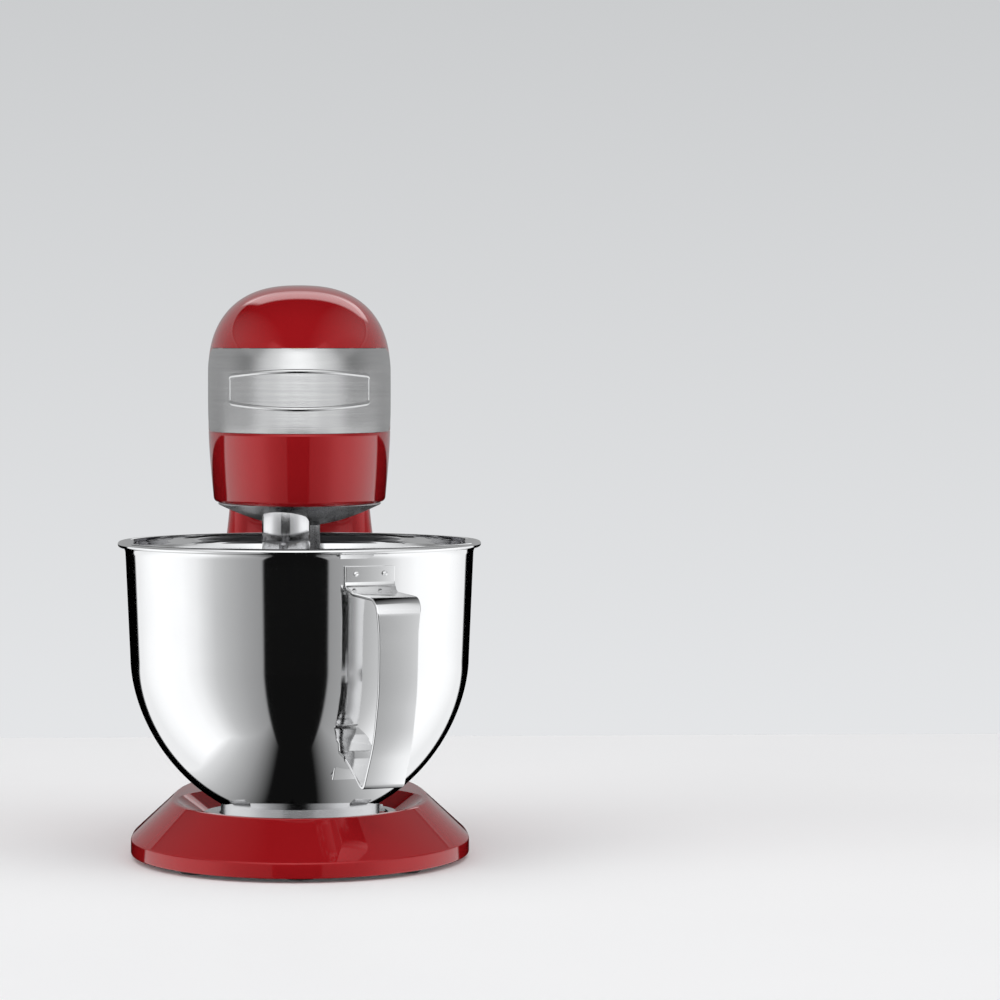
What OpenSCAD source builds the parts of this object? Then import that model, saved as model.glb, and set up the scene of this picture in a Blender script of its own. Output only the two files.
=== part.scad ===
// Tilt-head stand mixer with a planetary drive, a bayonet bowl and a front attachment hub.
// Millimetres. +Z is up, the front faces -Y, and the origin is on the table at the middle of the footprint.

/* [Base] */
// Width of the base at the bowl
base_w = 213; // [190:1:236]
// From the bowl's axis to the front of the base
base_front = 141; // [130:1:160]
// From the bowl's axis to the back of the base
base_back = 204; // [195:1:225]
// Height of the upright edge of the base
base_edge_h = 9.5; // [7:0.5:14]
// Height of the top of the base above the table
base_top_z = 36; // [32:1:42]
// How far the bevel leans in from the edge to the top
base_bevel = 26; // [20:1:32]
// Wall of the base casting
base_wall = 3.5; // [2.5:0.5:5]
// Gap under the base, which the feet fill
foot_h = 2.6; // [2:0.1:5]
// Radius of a rubber foot
foot_r = 10; // [7:0.5:13]

/* [Bowl] */
// Height of the bowl's rim above the table
rim_z = 199; // [185:1:210]
// Radius of the bowl under its rim
bowl_r = 109.3; // [98:0.1:116]
// Thickness of the bowl's steel
bowl_wall = 1.2; // [0.8:0.1:2]
// Radius of the rolled bead on the rim
bead_r = 1.9; // [1.2:0.1:3]
// Radius of the bowl's foot ring
bowl_foot_r = 50; // [44:0.5:54]
// Width of the handle's strip
handle_w = 27; // [20:1:34]
// Thickness of the handle's strip
handle_t = 2; // [1.2:0.1:3]
// How far the grip stands out from the axis at its top
handle_reach = 152; // [144:1:160]
// Turn of the handle from the front, towards +X
handle_turn = 22.7; // [0:0.1:45]

/* [Head] */
// Width of the head at its widest
head_w = 115; // [108:1:124]
// Underside of the head above the table
head_z = 223; // [218:1:230]
// Top of the head above the table
head_top = 360; // [354:1:380]
// From the bowl's axis to the front of the head
head_front = 88; // [84:1:98]
// From the bowl's axis to the back of the head
head_back = 213; // [206:1:226]
// Wall of the head's covers
head_wall = 3; // [2:0.5:4]
// Height of the brushed front band
band_h = 52; // [44:1:56]
// Underside of the band above the table
band_z = 268; // [262:1:272]
// How far the head tilts back, in degrees
tilt_max = 45; // [30:1:50]

/* [Pedestal] */
// Width of the pedestal at its top
pedestal_w = 92; // [84:1:100]
// Width of the pedestal at its foot
pedestal_foot_w = 152; // [130:1:160]
// Wall of the pedestal casting
pedestal_wall = 5; // [3:0.5:8]
// Radius of the hinge pin
hinge_r = 5; // [4:0.5:6]

/* [Drive] */
// Gear module of the planetary set
planet_module = 1.25; // [1.2:0.05:1.3]
// Teeth of the fixed ring gear
ring_teeth = 72; // [66:3:75]
// Teeth of the planet gear
planet_teeth = 27; // [24:1:30]
// Radius of the tool shaft
tool_shaft_r = 6; // [5:0.5:7]
// Radius of the bright sleeve round the tool shaft
sleeve_r = 15; // [12:0.5:16]
// Teeth of the large bevel gear
bevel_teeth = 32; // [28:2:36]
// Teeth of each bevel pinion
pinion_teeth = 16; // [14:1:18]
// Radius of the large pulley
pulley_r = 30; // [26:1:32]
// Radius of the motor's pulley
motor_pulley_r = 7.5; // [6.5:0.5:9]

/* [Hidden] */
$fn = 48;

paint = "firebrick";
polished = "gainsboro";
brushed = "silver";
grey_metal = "darkgray";
dark = "dimgray";
black = [0.12, 0.12, 0.12];
steel = "lightslategray";
brass = "goldenrod";
copper = "peru";
slip = 0.25; // clearance between parts that move past each other
seam = 0.15; // gap between fixed parts that meet
run_fit = 0.05; // radial clearance of a shaft in its bearing
bowl_y = -33.5; // the mixing axis, from the middle of the footprint

// --- shared shapes ---------------------------------------------------------------------------

function superellipse(a, w, front, back, pf, pb) =
    let (p = sin(a) < 0 ? pf : pb, d = sin(a) < 0 ? front : back)
    [w * sign(cos(a)) * pow(abs(cos(a)), 2 / p), d * sign(sin(a)) * pow(abs(sin(a)), 2 / p)];

// A closed solid through a stack of rings, each a list of points with the same count.
module loft(rings) {
    n = len(rings[0]);
    last = (len(rings) - 1) * n;
    polyhedron(
        points = [for (ring = rings) each ring],
        faces = [
            [for (i = [0:n - 1]) i],
            for (k = [0:len(rings) - 2]) for (i = [0:n - 1])
                [k * n + i, (k + 1) * n + i, (k + 1) * n + (i + 1) % n, k * n + (i + 1) % n],
            [for (i = [n - 1:-1:0]) last + i]
        ]);
}

module ring(outer, inner, h) {
    difference() {
        cylinder(r = outer, h = h);
        translate([0, 0, -1]) cylinder(r = inner, h = h + 2);
    }
}

module along_y(y, z, x = 0) { translate([x, y, z]) rotate([-90, 0, 0]) children(); }
module along_x(x, y, z) { translate([x, y, z]) rotate([0, 90, 0]) children(); }

// A pan-head screw whose head's underside is at the origin and whose shank points down.
module screw(r, length, head_r, head_h) {
    difference() {
        cylinder(r = head_r, h = head_h);
        for (a = [0, 90]) rotate(a) translate([-head_r * 0.6, -0.5, head_h * 0.45]) cube([head_r * 1.2, 1, head_h]);
    }
    translate([0, 0, -length]) cylinder(r = r, h = length + 0.1);
}

// Involute outline: half the tooth's angle at a radius, in degrees.
function inv_deg(a) = tan(a) * 180 / PI - a;
function half_tooth(r, pitch_r, teeth, backlash) =
    let (base = pitch_r * cos(20), a = acos(min(1, base / max(r, base))))
    90 / teeth - backlash / (2 * pitch_r) * 180 / PI + inv_deg(20) - inv_deg(a);

module spur_outline(teeth, module_mm, addendum, dedendum, backlash) {
    pr = teeth * module_mm / 2;
    low = pr - dedendum;
    high = pr + addendum;
    steps = [0, 0.35, 0.7, 1];
    polygon([for (i = [0:teeth - 1]) for (side = [-1, 1]) for (s = side < 0 ? steps : [1, 0.7, 0.35, 0])
        let (r = low + (high - low) * s, a = i * 360 / teeth + side * half_tooth(r, pr, teeth, backlash))
        [r * cos(a), r * sin(a)]]);
}

// A straight bevel gear's outline in the plane `dist` below the apex, by Tredgold's back cone.
module bevel_outline(teeth, mate, module_mm, backlash) {
    pr = teeth * module_mm / 2;
    cone = atan(teeth / mate);
    reach = pr / sin(cone);
    dist = mate * module_mm / 2;
    virtual_r = reach * tan(cone);
    high = 0.9 * module_mm;
    low = -1.1 * module_mm;
    polygon([for (i = [0:teeth - 1]) for (side = [-1, 1]) for (s = side < 0 ? [0, 0.5, 1] : [1, 0.5, 0])
        let (
            h = low + (high - low) * s,
            polar = cone + h / reach * 180 / PI,
            here = pr + h * cos(cone),
            turn = half_tooth(virtual_r + h, virtual_r, teeth / cos(cone), backlash) * (virtual_r + h) / here,
            a = i * 360 / teeth + side * turn)
        [dist * tan(polar) * cos(a), dist * tan(polar) * sin(a)]]);
}

// The outline drawn towards its apex, from its large end at the origin.
module bevel_body(teeth, mate, module_mm, face) {
    dist = mate * module_mm / 2;
    linear_extrude(face, scale = (dist - face) / dist) bevel_outline(teeth, mate, module_mm, 0.3);
}

// --- base ------------------------------------------------------------------------------------

lug_reach = 4.5; // how far a bayonet lug stands out of the foot ring
seat_r = bowl_foot_r + lug_reach + 6.1; // outside of the bowl seat
seat_t = 1.6;
seat_z = 27.6; // top of the bowl seat
pocket_r = bowl_foot_r + lug_reach + 2; // the pocket under the seat, where the bowl's lugs turn
pocket_z = 20.5;
dish_lip = 2.5; // flat lip between the bevel and the dish
dish_back = 79; // the dish is round behind the axis
base_ring = [for (a = [0:7.5:352.5]) a];

function base_level(z, inset) = [for (a = base_ring)
    let (p = superellipse(a, base_w / 2 - inset, base_front - inset, base_back - inset, 2, 2.4)) [p[0], p[1], z]];
function dish_level(z, inset) = [for (a = base_ring)
    let (
        w = base_w / 2 - base_bevel - dish_lip - inset,
        p = superellipse(a, w, base_front - base_bevel - dish_lip - inset, min(dish_back, w + 1) - inset, 2, 2))
    [p[0], p[1], z]];

edge_z = foot_h + base_edge_h;
module base_shell() {
    color(paint) difference() {
        loft([
            base_level(foot_h, 0.8), base_level(foot_h + 0.8, 0), base_level(edge_z - 0.6, 0),
            base_level(edge_z + 0.5, 0.6), base_level(base_top_z - 1, base_bevel - 1.2),
            base_level(base_top_z, base_bevel + 0.6)]);
        loft([
            base_level(foot_h - 1, base_wall + 2.5), base_level(edge_z, base_wall + 2.5),
            base_level(pocket_z - base_wall - 3, base_bevel + base_wall)]);
        loft([
            dish_level(seat_z - seat_t, 15), dish_level(seat_z + 1, 12), dish_level(base_top_z - 1.5, 1.5),
            dish_level(base_top_z + 1, -1)]);
        translate([0, 0, pocket_z]) cylinder(r = pocket_r, h = base_top_z, $fn = 96);
        translate([0, 0, seat_z - seat_t]) cylinder(r = seat_r + seam, h = base_top_z, $fn = 96);
        for (a = [30:90:300]) rotate(a) translate([seat_screw_r, 0, pocket_z - 1]) cylinder(r = 1.6, h = 10);
        for (p = pedestal_bolt_at) translate([p[0], p[1], -1]) cylinder(r = 3.2, h = base_top_z + 2);
        along_y(base_back - 40, gland_z) cylinder(r = gland_r + seam, h = 60);
        along_y(base_back - 40, gland_z) cylinder(r = gland_r + 2 + seam, h = 34 - base_wall + seam);
    }
    color(paint) for (p = plate_screw_at) translate([p[0], p[1], foot_h + plate_t + seam])
        ring(4.5, 1.5, pocket_z - base_wall - 3 - foot_h - plate_t);
}

plate_t = 2;
plate_screw_at = [[-72, -62], [72, -62], [-66, 96], [66, 96]];
module base_plate() {
    color(black) difference() {
        translate([0, 0, foot_h - 0.6]) linear_extrude(plate_t)
            polygon([for (p = base_level(0, base_wall + 2.5 + seam)) [p[0], p[1]]]);
        for (p = plate_screw_at) translate([p[0], p[1], -1]) cylinder(r = 1.7, h = 20);
        for (p = pedestal_bolt_at) translate([p[0], p[1], -1]) cylinder(r = 8, h = 20);
        for (p = foot_at) translate([p[0], p[1], -1]) cylinder(r = 3 + seam, h = 20);
    }
}

foot_at = [[-64, -88], [64, -88], [-58, 128], [58, 128], [0, -118]];
module feet() {
    color(black) for (p = foot_at) translate([p[0], p[1], 0]) {
        difference() {
            cylinder(r = foot_r, h = foot_h - 0.6 - 0.02);
            translate([0, 0, -1]) ring(foot_r - 2.5, foot_r - 4, 1.8);
        }
        translate([0, 0, foot_h - 0.7]) cylinder(r = 3, h = plate_t + 0.6);
        translate([0, 0, foot_h + plate_t - 0.5]) cylinder(r = 4.4, h = 1.5);
    }
}

module base_screws() {
    color(steel) for (p = plate_screw_at) translate([p[0], p[1], foot_h - 0.6 - seam]) rotate([180, 0, 0])
        screw(1.45, 9, 3.4, 1.2);
}

seat_screw_r = pocket_r + (seat_r - pocket_r) / 2;
lug_turn = 30; // from locked to free, in degrees
module bowl_seat() {
    color(brushed) translate([0, 0, seat_z - seat_t]) difference() {
        cylinder(r = seat_r, h = seat_t, $fn = 96);
        translate([0, 0, -1]) cylinder(r = bowl_foot_r + 1, h = seat_t + 2, $fn = 96);
        for (a = [90:120:330]) rotate(a + lug_turn) intersection() {
            translate([0, 0, -1]) cylinder(r = bowl_foot_r + lug_reach + 1, h = seat_t + 2);
            translate([0, -14, -1]) cube([100, 28, seat_t + 2]);
        }
        for (a = [30:90:300]) rotate(a) translate([seat_screw_r, 0, -1]) cylinder(r = 1.4, h = 9);
    }
}

module seat_screws() {
    color(steel) for (a = [30:90:300]) rotate(a) translate([seat_screw_r, 0, seat_z + 0.02]) screw(1.3, 6, 2, 1);
}

// --- pedestal and hinge ----------------------------------------------------------------------

hinge_y = 165;
hinge_z = 205;
pedestal_top = head_z - 1;
slot_w = 52; // the gap between the pedestal's ears
lug_r = 23; // the head's hinge lug
pedestal_bolt_at = [[-50, 118], [50, 118], [-34, 158], [34, 158]];
column_ring = [for (a = [0:11.25:348.75]) a];

function column_half(s) = pedestal_w / 2 + (pedestal_foot_w - pedestal_w) / 2 * pow(s, 1.25);
function column_front(s) = 124 + 10 * sin(180 * s) - 28 * pow(s, 2);
function column_back(s) = 196 + 3 * s;
function column_level(z, inset) = let (s = (pedestal_top - z) / (pedestal_top - base_top_z),
    mid = (column_front(s) + column_back(s)) / 2, d = (column_back(s) - column_front(s)) / 2 - inset)
    [for (a = column_ring) let (p = superellipse(a, column_half(s) - inset, d, d, 4.2, 3.4)) [p[0], mid + p[1], z]];

module pedestal() {
    bottom = base_top_z + 0.02;
    hollow_top = lever_z - 18;
    color(paint) difference() {
        loft([for (k = [0:9]) column_level(bottom + (pedestal_top - bottom) * k / 9, 0)]);
        loft([for (k = [0:4]) column_level(bottom - 0.5 + (hollow_top - bottom) * k / 4, pedestal_wall)]);
        // the slot for the head's lug, open upwards and to the back
        translate([-slot_w / 2, hinge_y, hinge_z - lug_r - 2]) cube([slot_w, 60, 80]);
        along_x(-slot_w / 2, hinge_y, hinge_z) cylinder(r = lug_r + 2, h = slot_w);
        translate([-slot_w / 2, hinge_y - lug_r - 2, hinge_z]) cube([slot_w, lug_r + 2, 80]);
        // the back of the ears clears the tilted head
        for (a = [tilt_max / 2, tilt_max]) translate([-100, hinge_y, hinge_z]) rotate([-a, 0, 0])
            translate([0, -60, head_z - hinge_z - 1.2]) cube([200, 160, 80]);
        translate([-100, hinge_y, head_z - 1.2]) cube([200, 60, 60]);
        along_x(-100, hinge_y, hinge_z) cylinder(r = hinge_r + 0.02, h = 200);
        for (side = [-1, 1]) along_x(side * (pedestal_w / 2 + 1) - 6, hinge_y, hinge_z) cylinder(r = cap_r, h = 12);
        // the lock's shaft, bolt and crank
        along_x(0, lever_y, lever_z) cylinder(r = lever_shaft_r + slip, h = 100);
        translate([0, hinge_y, hollow_top - 10]) cylinder(r = bolt_r + slip, h = 60);
        translate([-9, lever_y - 9, hollow_top - 10]) cube([18, hinge_y - lever_y + 18, lever_z + 12 - hollow_top + 10]);
        for (p = pedestal_bolt_at) translate([p[0], p[1], 0]) cylinder(r = 2.6, h = base_top_z + 14);
    }
    color(paint) for (p = pedestal_bolt_at) translate([p[0], p[1], bottom]) ring(6, 2.6, 16);
}

module pedestal_bolts() {
    color(steel) for (p = pedestal_bolt_at) translate([p[0], p[1], pocket_z - base_wall - 3 - 0.02]) {
        translate([0, 0, -3.6]) cylinder(r = 4.6, h = 3.6, $fn = 6);
        translate([0, 0, -0.01]) cylinder(r = 2.5, h = base_top_z + 12 - pocket_z + base_wall + 3);
    }
}

gland_z = 13;
gland_r = 6.5;
gland_bore_r = 3.6;
module cord_gland() {
    color(black) difference() {
        union() {
            along_y(base_back - base_wall - 6, gland_z) cylinder(r = gland_r, h = base_wall + 8);
            along_y(base_back - base_wall - 9, gland_z) cylinder(r = gland_r + 2, h = 3);
            along_y(base_back + seam, gland_z) cylinder(r = gland_r + 2, h = 3);
            along_y(base_back + 2, gland_z) cylinder(r1 = gland_r - 0.5, r2 = 5.2, h = 7);
        }
        along_y(base_back - 40, gland_z) cylinder(r = gland_bore_r, h = 80);
    }
}

cap_r = 9;
module hinge_pin() { color(steel) along_x(-pedestal_w / 2 + 6, hinge_y, hinge_z) cylinder(r = hinge_r, h = pedestal_w - 12); }
module hinge_bushes() {
    color(brass) for (side = [-1, 1]) along_x(side * 14 - 9, hinge_y, hinge_z) ring(hinge_r + 2.48, hinge_r + run_fit, 18);
}
module hinge_caps() {
    color(dark) for (side = [-1, 1]) along_x(side * (pedestal_w / 2 - 1.9) - 1.6, hinge_y, hinge_z)
        cylinder(r = cap_r - 0.1, h = 3.2);
}

lever_z = 158;
crank_r = 13;
lever_y = hinge_y - crank_r;
lever_swing = 20; // the crank turns this much each side of level
lever_shaft_r = 4;
crank_pin_r = 2;
bolt_r = 4;
lug_hole_depth = 9;
bolt_rest = hinge_z - lug_r - 1; // top of the drawn bolt
module lock_bolt() {
    pin_z = lever_z - crank_r * sin(lever_swing);
    color(steel) difference() {
        union() {
            translate([0, hinge_y, pin_z - 7]) cylinder(r = bolt_r, h = bolt_rest - pin_z + 7);
            translate([-bolt_r, hinge_y - 6, pin_z - 6]) cube([2 * bolt_r, 12, 12]);
        }
        translate([-20, hinge_y - 7, pin_z - crank_pin_r - slip]) cube([20 + 1.2, 14, 2 * (crank_pin_r + slip)]);
    }
}

module coil(r, wire, turns, height, steps = 12) {
    n = 6;
    total = turns * steps;
    loft([for (k = [0:total]) let (a = k * 360 / steps, z = wire + (height - 2 * wire) * k / total)
        [for (i = [0:n - 1]) let (b = i * 360 / n, rr = r + wire * cos(b)) [rr * cos(a), rr * sin(a), z - wire * sin(b)]]]);
}

module lock_spring() {
    pin_z = lever_z - crank_r * sin(lever_swing);
    color(steel) translate([0, hinge_y, hollow_floor]) coil(3, 0.5, 4, pin_z - 7.6 - hollow_floor);
}
hollow_floor = 136; // the spring's seat under the bolt

module lock_lever() {
    wall_x = column_half((pedestal_top - lever_z) / (pedestal_top - base_top_z));
    color(dark) {
        along_x(-7, lever_y, lever_z) cylinder(r = lever_shaft_r, h = wall_x + 12);
        translate([-7, lever_y, lever_z]) rotate([-lever_swing, 0, 0]) {
            translate([0, 0, -3.4]) cube([2.6, crank_r, 6.8]);
            along_x(0, crank_r, 0) cylinder(r = 3.4, h = 2.6);
            along_x(0, crank_r, 0) cylinder(r = crank_pin_r, h = 7.6);
        }
    }
    color(polished) translate([wall_x + 2.5, lever_y, lever_z]) {
        rotate([0, 90, 0]) cylinder(r = 10, h = 7);
        rotate([35, 0, 0]) translate([1.5, 0, -5]) cube([5, 34, 10]);
        rotate([35, 0, 0]) along_x(1.5, 34, 0) cylinder(r = 5, h = 5);
    }
}

// --- bowl ------------------------------------------------------------------------------------

wall_top = rim_z - 10; // where the wall starts to flare into the bead
belly_z = 125; // the wall is straight above and curved below
bowl_floor_z = 34;
belly_r = bowl_r - 2.8;

function bowl_profile(z) = z > belly_z
    ? belly_r + (bowl_r - belly_r) * (z - belly_z) / (wall_top - belly_z)
    : belly_r * sqrt(1 - pow((belly_z - z) / (1.155 * (belly_z - bowl_floor_z)), 1.8));
bowl_steps = [for (k = [0:15]) bowl_floor_z + (belly_z - bowl_floor_z) * (1 - cos(90 * k / 15))];
bead_at = [bowl_r + 3, rim_z - bead_r];

module bowl() {
    outer = [
        [0, bowl_floor_z], for (z = bowl_steps) [bowl_profile(z), z], [bowl_r, wall_top],
        [bowl_r + 0.6, wall_top + 3.5], [bead_at[0] - 0.4, bead_at[1] - bead_r * 0.8]];
    inner = [for (i = [len(outer) - 1:-1:0])
        i == 0 ? [0, bowl_floor_z + bowl_wall] :
        i == 1 ? [outer[1][0] - 0.3, bowl_floor_z + bowl_wall] :
        outer[i] + [-bowl_wall, i < 5 ? bowl_wall * 0.55 : 0]];
    color(polished) union() {
        rotate_extrude($fn = 128) polygon(concat(outer, inner));
        rotate_extrude($fn = 128) translate(bead_at) circle(r = bead_r, $fn = 24);
    }
}

module bowl_foot() {
    top = bowl_floor_z - 0.02;
    low = pocket_z + 0.8;
    color(brushed) {
        translate([0, 0, low]) ring(bowl_foot_r, bowl_foot_r - 2, top - low);
        translate([0, 0, top - 1.5]) ring(bowl_foot_r, bowl_foot_r - 9, 1.5);
        for (a = [90:120:330]) rotate(a) intersection() {
            translate([0, 0, low]) ring(bowl_foot_r + lug_reach, bowl_foot_r - 1, 2.4);
            translate([0, -11, low - 1]) cube([100, 22, 10]);
        }
    }
}

grip_top = 169;
grip_low = 53;
plate_top = 187;
plate_low = 172;
plate_w = 33;
// The strip's centre line in the handle's own plane, from the upper plate out, down and back to the wall.
function arc_points(c, r, from, to, n) = [for (k = [0:n]) let (a = from + (to - from) * k / n) c + r * [cos(a), sin(a)]];
handle_path = let (low_x = handle_reach - 23, wall = bowl_profile(plate_low) + 0.4 + handle_t / 2)
    concat(
        [[wall, plate_low + 4]],
        arc_points([wall + 7, plate_low + 3], 7, 180, 265, 4),
        arc_points([handle_reach - 12, grip_top - 14], 13, 84, 8, 6),
        [[handle_reach + 1.5, 130], [handle_reach - 1, 105], [handle_reach - 9, 78]],
        arc_points([low_x - 1, grip_low + 5.5], 6, -10, -125, 5),
        [[bowl_profile(62) + 9, 72.5]]);

// A strip of even thickness along a path.
module strip(path, t) {
    n = len(path) - 1;
    dir = [for (i = [0:n]) let (d = path[min(i + 1, n)] - path[max(i - 1, 0)]) d / norm(d)];
    side = [for (d = dir) t / 2 * [-d[1], d[0]]];
    polygon(concat([for (i = [0:n]) path[i] + side[i]], [for (i = [n:-1:0]) path[i] - side[i]]));
}

module bowl_handle() {
    lift = 0.05;
    plate_arc = plate_w / bowl_r * 180 / PI;
    tab_low = 50;
    tab_top = 71;
    tab_arc = 24 / 80 * 180 / PI;
    color(polished) rotate(handle_turn - 90) {
        rotate([90, 0, 0]) translate([0, 0, -handle_w / 2]) linear_extrude(handle_w) strip(handle_path, handle_t);
        rotate(-plate_arc / 2) rotate_extrude(angle = plate_arc, $fn = 128) polygon([
            [bowl_profile(plate_low) + lift, plate_low], [bowl_profile(plate_top) + lift, plate_top],
            [bowl_profile(plate_top) + lift + handle_t, plate_top], [bowl_profile(plate_low) + lift + handle_t, plate_low]]);
        rotate(-tab_arc / 2) rotate_extrude(angle = tab_arc, $fn = 128) polygon(concat(
            [for (k = [0:3]) let (z = tab_low + (tab_top - tab_low) * k / 3) [bowl_profile(z) + lift + 0.4, z]],
            [[bowl_profile(tab_top) + handle_t + 5, tab_top + 2.2]],
            [for (k = [3:-1:0]) let (z = tab_low + (tab_top - tab_low) * k / 3) [bowl_profile(z) + handle_t + 0.8, z]]));
    }
}

// --- head covers -----------------------------------------------------------------------------

head_mid = 20; // where the head is widest, behind the bowl's axis
crown_z = 305; // above this the head closes in a dome
belly_top = 270; // below this the sides lean in
crown_shift = 26; // how far back the crown leans
head_ring = [for (a = [0:7.5:352.5]) a];

function head_share(z, top) = z > crown_z
    ? pow(max(0, 1 - pow((z - crown_z) / (top - crown_z), 2.3)), 0.4)
    : z < belly_top ? 1 - 0.06 * pow((belly_top - z) / (belly_top - head_z), 1.5) : 1;
function head_level(z, inset) = let (
    top = head_top - inset,
    s = head_share(z, top),
    lean = z > crown_z ? crown_shift * pow((z - crown_z) / (head_top - crown_z), 2) : 0)
    [for (a = head_ring) let (p = superellipse(a, (head_w / 2 - inset) * s,
        (head_front + head_mid - inset) * s, (head_back - head_mid - inset) * s, 2.1, 2.3))
        [p[0], head_mid + lean + p[1], z]];
function crown_steps(top) = [for (k = [1:8]) crown_z + (top - crown_z) * sin(90 * k / 8.06)];

parting_z = band_z; // the covers meet along the band's lower edge
band_end = 12; // how far behind the axis the band's round ends reach
module band_region(grow) {
    // the band's outline from the side: a long slot with round ends
    rotate([90, 0, 90]) linear_extrude(400, center = true) union() {
        translate([-300, band_z - grow]) square([300 + band_end - band_h / 2, band_h + 2 * grow]);
        translate([band_end - band_h / 2, band_z + band_h / 2]) circle(r = band_h / 2 + grow, $fn = 64);
    }
}

module top_cover() {
    color(paint) difference() {
        loft(concat([head_level(parting_z + seam, 0), head_level(crown_z - 12, 0), head_level(crown_z, 0)],
            [for (z = crown_steps(head_top)) head_level(z, 0)]));
        loft(concat([head_level(parting_z - 1, head_wall), head_level(crown_z, head_wall)],
            [for (z = crown_steps(head_top - head_wall)) head_level(z, head_wall)]));
        band_region(seam);
        dial_place() translate([0, 0, -20]) cylinder(r = dial_r + 1.6 + seam, h = 40);
        along_y(head_back - 40, vent_z) cylinder(r = vent_r + seam, h = 60);
    }
}

ring_wall = 4.4; // from the ring gear's pitch circle to its outside
ring_outer_r = ring_teeth * planet_module / 2 + ring_wall;
opening_r = ring_outer_r + 3.1; // the planetary turns in this hole
floor_t = 4;
module lower_housing() {
    color(paint) difference() {
        union() {
            difference() {
                loft([for (k = [0:4]) head_level(head_z + (parting_z - head_z) * k / 4, 0)]);
                loft([for (k = [0:3]) head_level(head_z + floor_t + (parting_z + 1 - head_z - floor_t) * k / 3, head_wall)]);
            }
            for (side = [-1, 1]) along_x(side * 14 - 9, hinge_y, hinge_z) hinge_lug();
        }
        translate([0, 0, head_z - 1]) cylinder(r = opening_r, h = 20, $fn = 96);
        along_x(-40, hinge_y, hinge_z) cylinder(r = hinge_r + 2.5, h = 80);
        for (a = [0, tilt_max]) translate([0, hinge_y, hinge_z]) rotate([a, 0, 0]) translate([0, 0, -lug_r - 5])
            cylinder(r = bolt_r + slip, h = lug_hole_depth + 5);
        band_region(seam);
        along_y(head_back - 40, vent_z) cylinder(r = vent_r + seam, h = 60);
        for (p = concat(housing_screw_at, case_screw_at)) translate([p[0], p[1], head_z - 1]) cylinder(r = 1.7, h = 20);
        for (p = housing_screw_at) translate([p[0], p[1], head_z - 1]) cylinder(r = 3.6, h = 3);
    }
}

// The two cheeks of the hinge lug hang from the housing's floor.
module hinge_lug() {
    cylinder(r = lug_r, h = 18);
    translate([-(head_z + 2 - hinge_z), -16, 0]) cube([head_z + 2 - hinge_z, 32, 18]);
}

housing_screw_at = [[-40, 62], [40, 62], [-32, 138], [32, 138]];
module housing_screws() {
    color(steel) for (p = housing_screw_at) translate([p[0], p[1], head_z + 2 - 0.02]) rotate([180, 0, 0])
        screw(1.5, 10, 3.2, 1.6);
}

band_t = 1.2;
backing_t = 2.4;
module band_shell(inset, t, margin) {
    low = band_z + margin;
    high = band_z + band_h - margin;
    middle = concat([for (z = [band_z + 4:8:crown_z - 4]) z], [for (z = [crown_z:3:band_z + band_h - 3]) z]);
    intersection() {
        difference() {
            loft([for (z = concat([low], middle, [high])) head_level(z, inset)]);
            loft([for (z = concat([low - 0.5], middle, [high + 0.5])) head_level(z, inset + t)]);
        }
        band_region(-margin);
    }
}
module front_band() { color(brushed) band_shell(0, band_t, 0); }
module band_backing() {
    color(black) {
        band_shell(band_t + seam, backing_t, 2);
        for (side = [-1, 1]) along_y(-hub_face - 1.5, hub_z, side * 24) cylinder(r = 2, h = 8);
    }
}

// --- front attachment hub --------------------------------------------------------------------

apex_z = 286; // the bevel gears' axes cross here, on the bowl's axis
hub_z = apex_z;
hub_face = 74; // front of the hub's flange, in front of the axis
hub_bore_r = 12;
hub_depth = 20;
module hub_socket() {
    color(grey_metal) difference() {
        union() {
            along_y(-hub_face, hub_z) cylinder(r = 22, h = 4);
            along_y(-hub_face, hub_z) cylinder(r = 16, h = hub_depth + 19);
        }
        along_y(-hub_face - 1, hub_z) cylinder(r = hub_bore_r, h = hub_depth + 1);
        along_y(-hub_face, hub_z) cylinder(r = 9, h = 60);
        for (side = [-1, 1]) along_y(-hub_face - 3, hub_z, side * 24) cylinder(r = 2.2, h = 9);
        along_y(-hub_face - 1, hub_z - 19) cylinder(r = 1.6, h = 9);
        along_y(-hub_face - 1, hub_z + 19) cylinder(r = 1.6, h = 9);
    }
}

bevel_module = 1.75;
bevel_dist_gear = pinion_teeth * bevel_module / 2; // from the apex down to the large gear's wide end
bevel_dist_pinion = bevel_teeth * bevel_module / 2; // from the apex out to a pinion's wide end
pinion_face = 9;
gear_face = 5;
shaft_r = 4;

module bevel_pinion(turn) {
    difference() {
        rotate(turn) bevel_body(pinion_teeth, bevel_teeth, bevel_module, pinion_face);
        translate([0, 0, -1]) cylinder(r = shaft_r, h = 30);
    }
}

module hub_bearing() {
    color(brass) along_y(-hub_face + hub_depth + 9.5, hub_z) ring(9 - 0.02, shaft_r + run_fit, 9);
}

module hub_shaft() {
    color(steel) {
        along_y(-hub_face + hub_depth + 0.3, hub_z) difference() {
            cylinder(r = 8.5, h = 8.8);
            translate([-4, -4, -1]) cube([8, 8, 8.5]);
        }
        along_y(-hub_face + hub_depth + 8, hub_z)
            cylinder(r = shaft_r, h = hub_face - hub_depth - 8 - bevel_dist_pinion + 1);
        along_y(-bevel_dist_pinion, hub_z) bevel_pinion(pinion_mesh);
    }
}
pinion_mesh = 90 + 180 / pinion_teeth; // puts a gap of each pinion over a tooth of the large gear

// --- gear case and planetary -----------------------------------------------------------------

planet_offset = (ring_teeth - planet_teeth) * planet_module / 2;
planet_turn = -107.5; // where the tool stands at rest, measured from +X
ring_r = ring_teeth * planet_module / 2;
ring_z = head_z + floor_t + 1;
ring_h = 9;
deck_z = ring_z + ring_h + 4;
deck_t = 4;

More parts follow.
